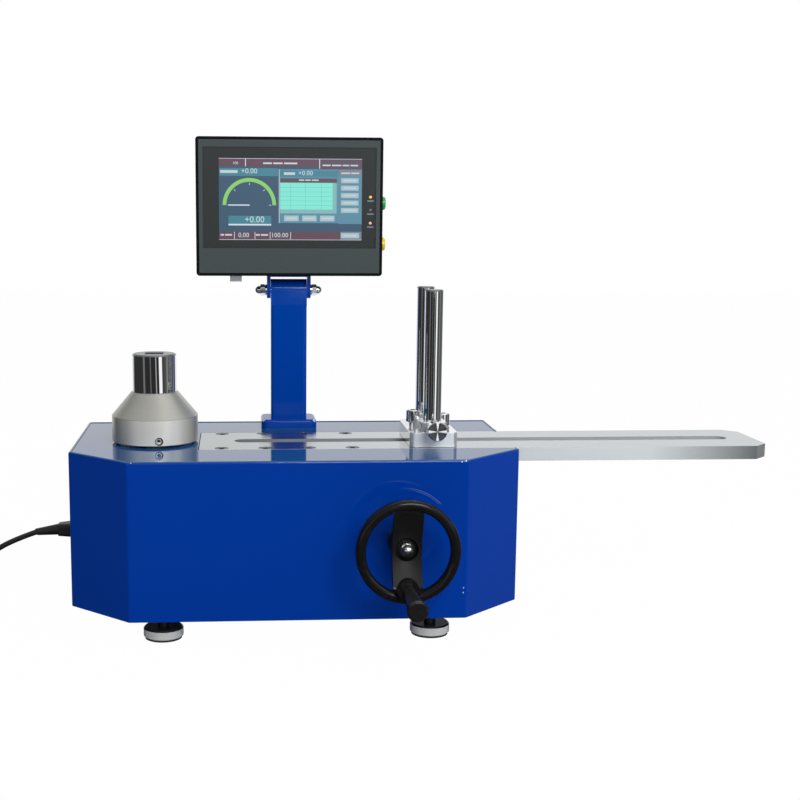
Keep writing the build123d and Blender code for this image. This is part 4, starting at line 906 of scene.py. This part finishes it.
# Tiles of each colour: left, top, width, height and layer
tiles = {
    "navy": [(0, 0, 1072, 623, 0)],
    "maroon": [(0, 0, 196, 60, 1), (204, 0, 544, 60, 1), (0, 558, 912, 65, 1)],
    "lilac": [(898, 80, 174, 50, 1), (912, 558, 160, 65, 1)],
    "slider": [(852, 184, 30, 204, 3), (457, 388, 425, 30, 3)],
    "teal": [(4, 74, 438, 60, 1), (457, 90, 435, 48, 2), (70, 438, 320, 62, 1)],
    "panelTeal": [(450, 80, 446, 412, 1), (896, 130, 176, 368, 1)],
    "mauve": [(756, 0, 316, 78, 1), (460, 150, 424, 31, 2)],
    "turquoise": [(457, 184, 395, 204, 2)],
    "tableLine": [(457, 184 + 34 * row, 395, 2.5, 3) for row in range(1, 6)]
                 + [(left, 184, 2.5, 204, 3) for left in (535, 645, 765)],
    "pale": [(196, 2, 6, 58, 2), (750, 2, 6, 72, 2), (70, 500, 320, 12, 2), (112, 562, 4, 56, 2),
             (266, 562, 4, 56, 2), (380, 562, 4, 56, 2), (534, 562, 4, 56, 2), (448, 80, 4, 412, 2),
             (0, 0, 1072, 3, 3), (0, 620, 1072, 3, 3)],
    "button": [(487 + 135 * step, 434, 110, 44, 2) for step in range(3)]
              + [(915, 146 + 57 * step, 132, 38, 2) for step in range(5)] + [(916, 568, 138, 40, 2)],
}

# Words on the screen stay short bare bars
wordBars = [(330, 30, 66, 13), (406, 30, 70, 13), (486, 30, 100, 13), (775, 44, 60, 11), (845, 44, 70, 11),
            (925, 44, 50, 11), (985, 44, 56, 11), (10, 90, 130, 22), (485, 104, 84, 20), (598, 158, 40, 10),
            (646, 158, 40, 10), (694, 158, 52, 10), (916, 103, 66, 11), (990, 103, 60, 11), (10, 578, 26, 13),
            (44, 578, 52, 13), (274, 578, 30, 13), (312, 578, 54, 13),
            *[(500 + 135 * step, 450, 84, 12) for step in range(3)],
            *[(934, 159 + 57 * step, 94, 11) for step in range(5)], (934, 582, 100, 12)]


def makeScreen():
    for colour, places in tiles.items():
        mesh = bmesh.new()
        for place in places:
            addTile(mesh, *place)
        finishTiles("screen_" + colour, mesh, makeGlow(colour, screenColours[colour]))
    mesh = bmesh.new()
    for place in wordBars:
        addTile(mesh, *place, screen["wordLayer"])
    finishTiles("screenWords", mesh, makeGlow("screenInk", screenColours["ink"]))


gauge = {
    "across": 227,
    "down": 356,
    "outer": 200,
    "inner": 172,
    "steps": 48,
    "ticks": 5,
    "tick": (14, 5),
    "tickReach": 155,
    "needle": (160, 9),
    "needleMiddle": 78,
}


# Half-ring dial, its ticks and its needle
def makeGauge():
    mesh = bmesh.new()
    x, z = cell(gauge["across"], gauge["down"])
    unit = screen["width"] / screen["cellsWide"] * mm
    tile = screen["tile"] * mm
    front = layerFront(1)
    inner = mesh.verts.new((x - gauge["inner"] * unit, front, z))
    outer = mesh.verts.new((x - gauge["outer"] * unit, front, z))
    edge = mesh.edges.new((inner, outer))
    bmesh.ops.spin(mesh, geom=[inner, outer, edge], cent=(x, front, z), axis=(0, 1, 0), angle=math.pi,
                   steps=gauge["steps"])
    made = bmesh.ops.extrude_face_region(mesh, geom=mesh.faces[:])
    verts = [item for item in made["geom"] if isinstance(item, bmesh.types.BMVert)]
    bmesh.ops.translate(mesh, vec=(0, -tile, 0), verts=verts)
    finishTiles("gaugeArc", mesh, makeGlow("arcGreen", screenColours["arcGreen"]))

    mesh = bmesh.new()
    long, thick = gauge["tick"]
    for step in range(gauge["ticks"]):
        turn = Matrix.Rotation(step * math.pi / (gauge["ticks"] - 1), 3, "Y")
        verts = addBlock(mesh, (long * unit, tile, thick * unit), (-gauge["tickReach"] * unit, 0, 0))
        bmesh.ops.rotate(mesh, cent=(0, 0, 0), matrix=turn, verts=verts)
        bmesh.ops.translate(mesh, vec=(x, front - tile / 2, z), verts=verts)
    long, thick = gauge["needle"]
    addBlock(mesh, (long * unit, tile, thick * unit), (x - gauge["needleMiddle"] * unit, front - tile / 2, z))
    finishTiles("gaugeMarks", mesh, makeGlow("gaugeWhite", screenColours["gaugeWhite"]))


# Figures, each with its place and its height in cells. The type is larger than a figure is high
numbers = [("+0.00", 165, 114, 44), ("+0.00", 592, 126, 40), ("+0.00", 190, 488, 54), ("0.00", 142, 602, 40),
           ("100.00", 388, 602, 40), ("100", 102, 46, 24)]
typeGrowth = 1.25


def makeNumbers():
    target = bmesh.new()
    for words, across, down, high in numbers:
        curve = bpy.data.curves.new("figure", "FONT")
        curve.body = words
        curve.size = high * screen["height"] / screen["cellsHigh"] * mm * typeGrowth
        curve.extrude = screen["tile"] / 2 * mm
        curve.resolution_u = 3
        figure = bpy.data.objects.new("figure", curve)
        bpy.context.collection.objects.link(figure)
        bpy.context.view_layer.update()
        shape = bpy.data.meshes.new_from_object(figure)
        x, z = cell(across, down)
        place = Matrix.Translation((x, layerFront(screen["wordLayer"]), z))
        shape.transform(place @ Matrix.Rotation(math.pi / 2, 4, "X"))
        target.from_mesh(shape)
        bpy.data.objects.remove(figure)
    bmesh.ops.remove_doubles(target, verts=target.verts, dist=0.001 * mm)
    finishTiles("screenNumbers", target, makeGlow("screenFigures", screenColours["figures"]))


# Status lamps beside the screen, with a bare bar under each
lamps = {
    "x": 86.5,
    "tops": (440.5, 426.5, 412.5),
    "colours": ((0.95, 0.62, 0.1), (0.1, 0.1, 0.1), (0.95, 0.45, 0.4)),
    "radius": 1.5,
    "flatness": 0.3,
    "segments": (20, 10),
    "bar": (7.0, 1.6),
    "drop": 4.2,
    "ink": (0.16, 0.17, 0.18),
}


def makeLamps():
    ink = bmesh.new()
    front = layerFront(0)
    tile = screen["tile"] * mm
    x = (lamps["x"] - origin["x"]) * mm
    around, along = lamps["segments"]
    wide, high = lamps["bar"]
    for index, (top, colour) in enumerate(zip(lamps["tops"], lamps["colours"])):
        mesh = bmesh.new()
        bmesh.ops.create_uvsphere(mesh, u_segments=around, v_segments=along, radius=lamps["radius"] * mm)
        bmesh.ops.scale(mesh, vec=(1, lamps["flatness"], 1), verts=mesh.verts)
        bmesh.ops.translate(mesh, vec=(x, front, top * mm), verts=mesh.verts)
        finishPiece("statusLamp" + str(index), mesh, "display",
                    makeGlow("lampGlow" + str(index), colour), True)
        addBlock(ink, (wide * mm, tile, high * mm), (x, front - tile / 2, (top - lamps["drop"]) * mm))
    finishTiles("lampBars", ink, makeGlow("lampInk", lamps["ink"]))


makeScreen()
makeGauge()
makeNumbers()
makeLamps()
print("screen drawn")

# Plain pale floor and surroundings. The camera sees them near white. Metal and gloss paint see a white
# backdrop behind the instrument, dimmer sides, a dark room in front and a few upright light panels in it
stage = {
    "floor": 6.0,
    "floorColour": 0.82,
    "floorRoughness": 0.9,
    "whiteness": 0.99,
    "ambient": (0.22, 0.52),
    "ambientSpan": (-0.8, 0.3),
}

# Each side of the room fades in between two shares of its direction, up to its level. A panel has the angle
# of its middle, half its width and its level
room = {
    "dark": 0.03,
    "back": (0.5, 0.8, 0.97),
    "right": (0.45, 0.95, 0.12),
    "left": (0.45, 0.95, 0.035),
    "top": (0.3, 0.75, 0.5),
    "front": (0.3, 0.7, 1.0),
    "frontTop": (0.15, 0.3, 1, 0.1),
    "panels": [(0.52, 0.13, 1.2), (-1.0, 0.07, 0.2), (0.08, 0.04, 0.45), (-0.42, 0.04, 0.16),
               (1.25, 0.06, 0.3)],
    "panelEdge": 1.4,
    "panelsFrom": (1.1, 1.25),
}


# How bright the room looks in a direction
def makeRoomGroup():
    tree, given, result = newGroup("roomAround", [("Direction", "Vector", (0, 0, 0))], "Level")
    far = spread(tree, reckonVector(tree, "LENGTH", given["Direction"]), *room["panelsFrom"])
    parts = tree.nodes.new("ShaderNodeSeparateXYZ")
    tree.links.new(reckonVector(tree, "NORMALIZE", given["Direction"]), parts.inputs[0])
    x, y, z = parts.outputs
    level = room["dark"]
    for side, value in (("back", y), ("right", x), ("left", reckon(tree, "MULTIPLY", x, -1)), ("top", z)):
        low, high, bright = room[side]
        level = reckon(tree, "MAXIMUM", level, spread(tree, value, low, high, 0, bright))
    around = reckon(tree, "ARCTAN2", x, reckon(tree, "MULTIPLY", y, -1))
    for middle, half, bright in room["panels"]:
        near = reckon(tree, "ABSOLUTE", reckon(tree, "SUBTRACT", around, middle))
        panel = spread(tree, near, half, half * room["panelEdge"], bright, 0)
        level = reckon(tree, "MAXIMUM", level, reckon(tree, "MULTIPLY", panel, far))
    tree.links.new(level, result[0])
    return tree


roomGroup = makeRoomGroup()


def outputOf(tree, kind):
    return next(node for node in tree.nodes if node.type == kind)


# The camera sees the floor plain, and mirrors see the room in its place
def makeFloor():
    mesh = bmesh.new()
    bmesh.ops.create_grid(mesh, x_segments=2, y_segments=2, size=stage["floor"])
    data = bpy.data.meshes.new("floor")
    mesh.to_mesh(data)
    mesh.free()
    floor = bpy.data.objects.new("floor", data)
    bpy.context.collection.objects.link(floor)
    material, tree = newMaterial("floorPaper")
    shader = shaderOf(material)
    shader.inputs["Base Color"].default_value = (*[stage["floorColour"]] * 3, 1)
    shader.inputs["Roughness"].default_value = stage["floorRoughness"]
    shader.inputs["Specular IOR Level"].default_value = 0
    path = tree.nodes.new("ShaderNodeLightPath").outputs
    plain = reckon(tree, "MAXIMUM", path["Is Camera Ray"], path["Is Transmission Ray"])
    mirrored = path["Is Glossy Ray"]
    share = reckon(tree, "MAXIMUM", reckon(tree, "MULTIPLY", plain, stage["whiteness"]), mirrored)
    around = addGroup(tree, roomGroup, objectPlace(tree), {})
    paper = tree.nodes.new("ShaderNodeEmission")
    tree.links.new(mixValues(tree, mirrored, 1.0, around), paper.inputs["Strength"])
    blend = tree.nodes.new("ShaderNodeMixShader")
    for source, socket in zip((share, shader.outputs[0], paper.outputs[0]), blend.inputs):
        tree.links.new(source, socket)
    tree.links.new(blend.outputs[0], outputOf(tree, "OUTPUT_MATERIAL").inputs["Surface"])
    floor.data.materials.append(material)


# The world is plain to the camera, a soft light to matt faces and the room to mirrors
def makeWorld():
    world = bpy.data.worlds.new("studio")
    bpy.context.scene.world = world
    world.use_nodes = True
    tree = world.node_tree
    tree.nodes.clear()
    direction = tree.nodes.new("ShaderNodeTexCoord").outputs["Generated"]
    around = addGroup(tree, roomGroup, direction, {})
    parts = tree.nodes.new("ShaderNodeSeparateXYZ")
    tree.links.new(direction, parts.inputs[0])
    x, y, z = parts.outputs
    low, high, bright = room["front"]
    front = reckon(tree, "MULTIPLY", spread(tree, reckon(tree, "MULTIPLY", y, -1), low, high, 0, bright),
                   spread(tree, z, *room["frontTop"]))
    path = tree.nodes.new("ShaderNodeLightPath").outputs
    ambient = spread(tree, x, *stage["ambientSpan"], *stage["ambient"])
    level = mixValues(tree, path["Is Glossy Ray"], ambient, reckon(tree, "MAXIMUM", around, front))
    plain = reckon(tree, "MAXIMUM", path["Is Camera Ray"], path["Is Transmission Ray"])
    background = tree.nodes.new("ShaderNodeBackground")
    background.inputs["Color"].default_value = (1, 1, 1, 1)
    tree.links.new(reckon(tree, "MAXIMUM", plain, level), background.inputs["Strength"])
    tree.links.new(background.outputs[0], tree.nodes.new("ShaderNodeOutputWorld").inputs["Surface"])


# Soft boxes: name, place, width, height and power
lampPlan = [
    ("keyBox", (0.5, -2.0, 1.5), 1.2, 1.0, 38),
    ("fillBox", (1.9, -0.9, 1.3), 1.0, 1.4, 8),
    ("topBox", (0.2, 0.4, 2.3), 2.2, 1.6, 8),
]
lampAim = (-0.1, 0, 0.2)


def makeLamp(name, place, wide, high, power):
    data = bpy.data.lights.new(name, "AREA")
    data.shape = "RECTANGLE"
    data.size = wide
    data.size_y = high
    data.energy = power
    lamp = bpy.data.objects.new(name, data)
    bpy.context.collection.objects.link(lamp)
    aim = Vector(lampAim) - Vector(place)
    lamp.matrix_world = Matrix.Translation(place) @ aim.to_track_quat("-Z", "Y").to_matrix().to_4x4()


makeFloor()
makeWorld()
for plan in lampPlan:
    makeLamp(*plan)
print("stage lit")

bpy.context.view_layer.update()
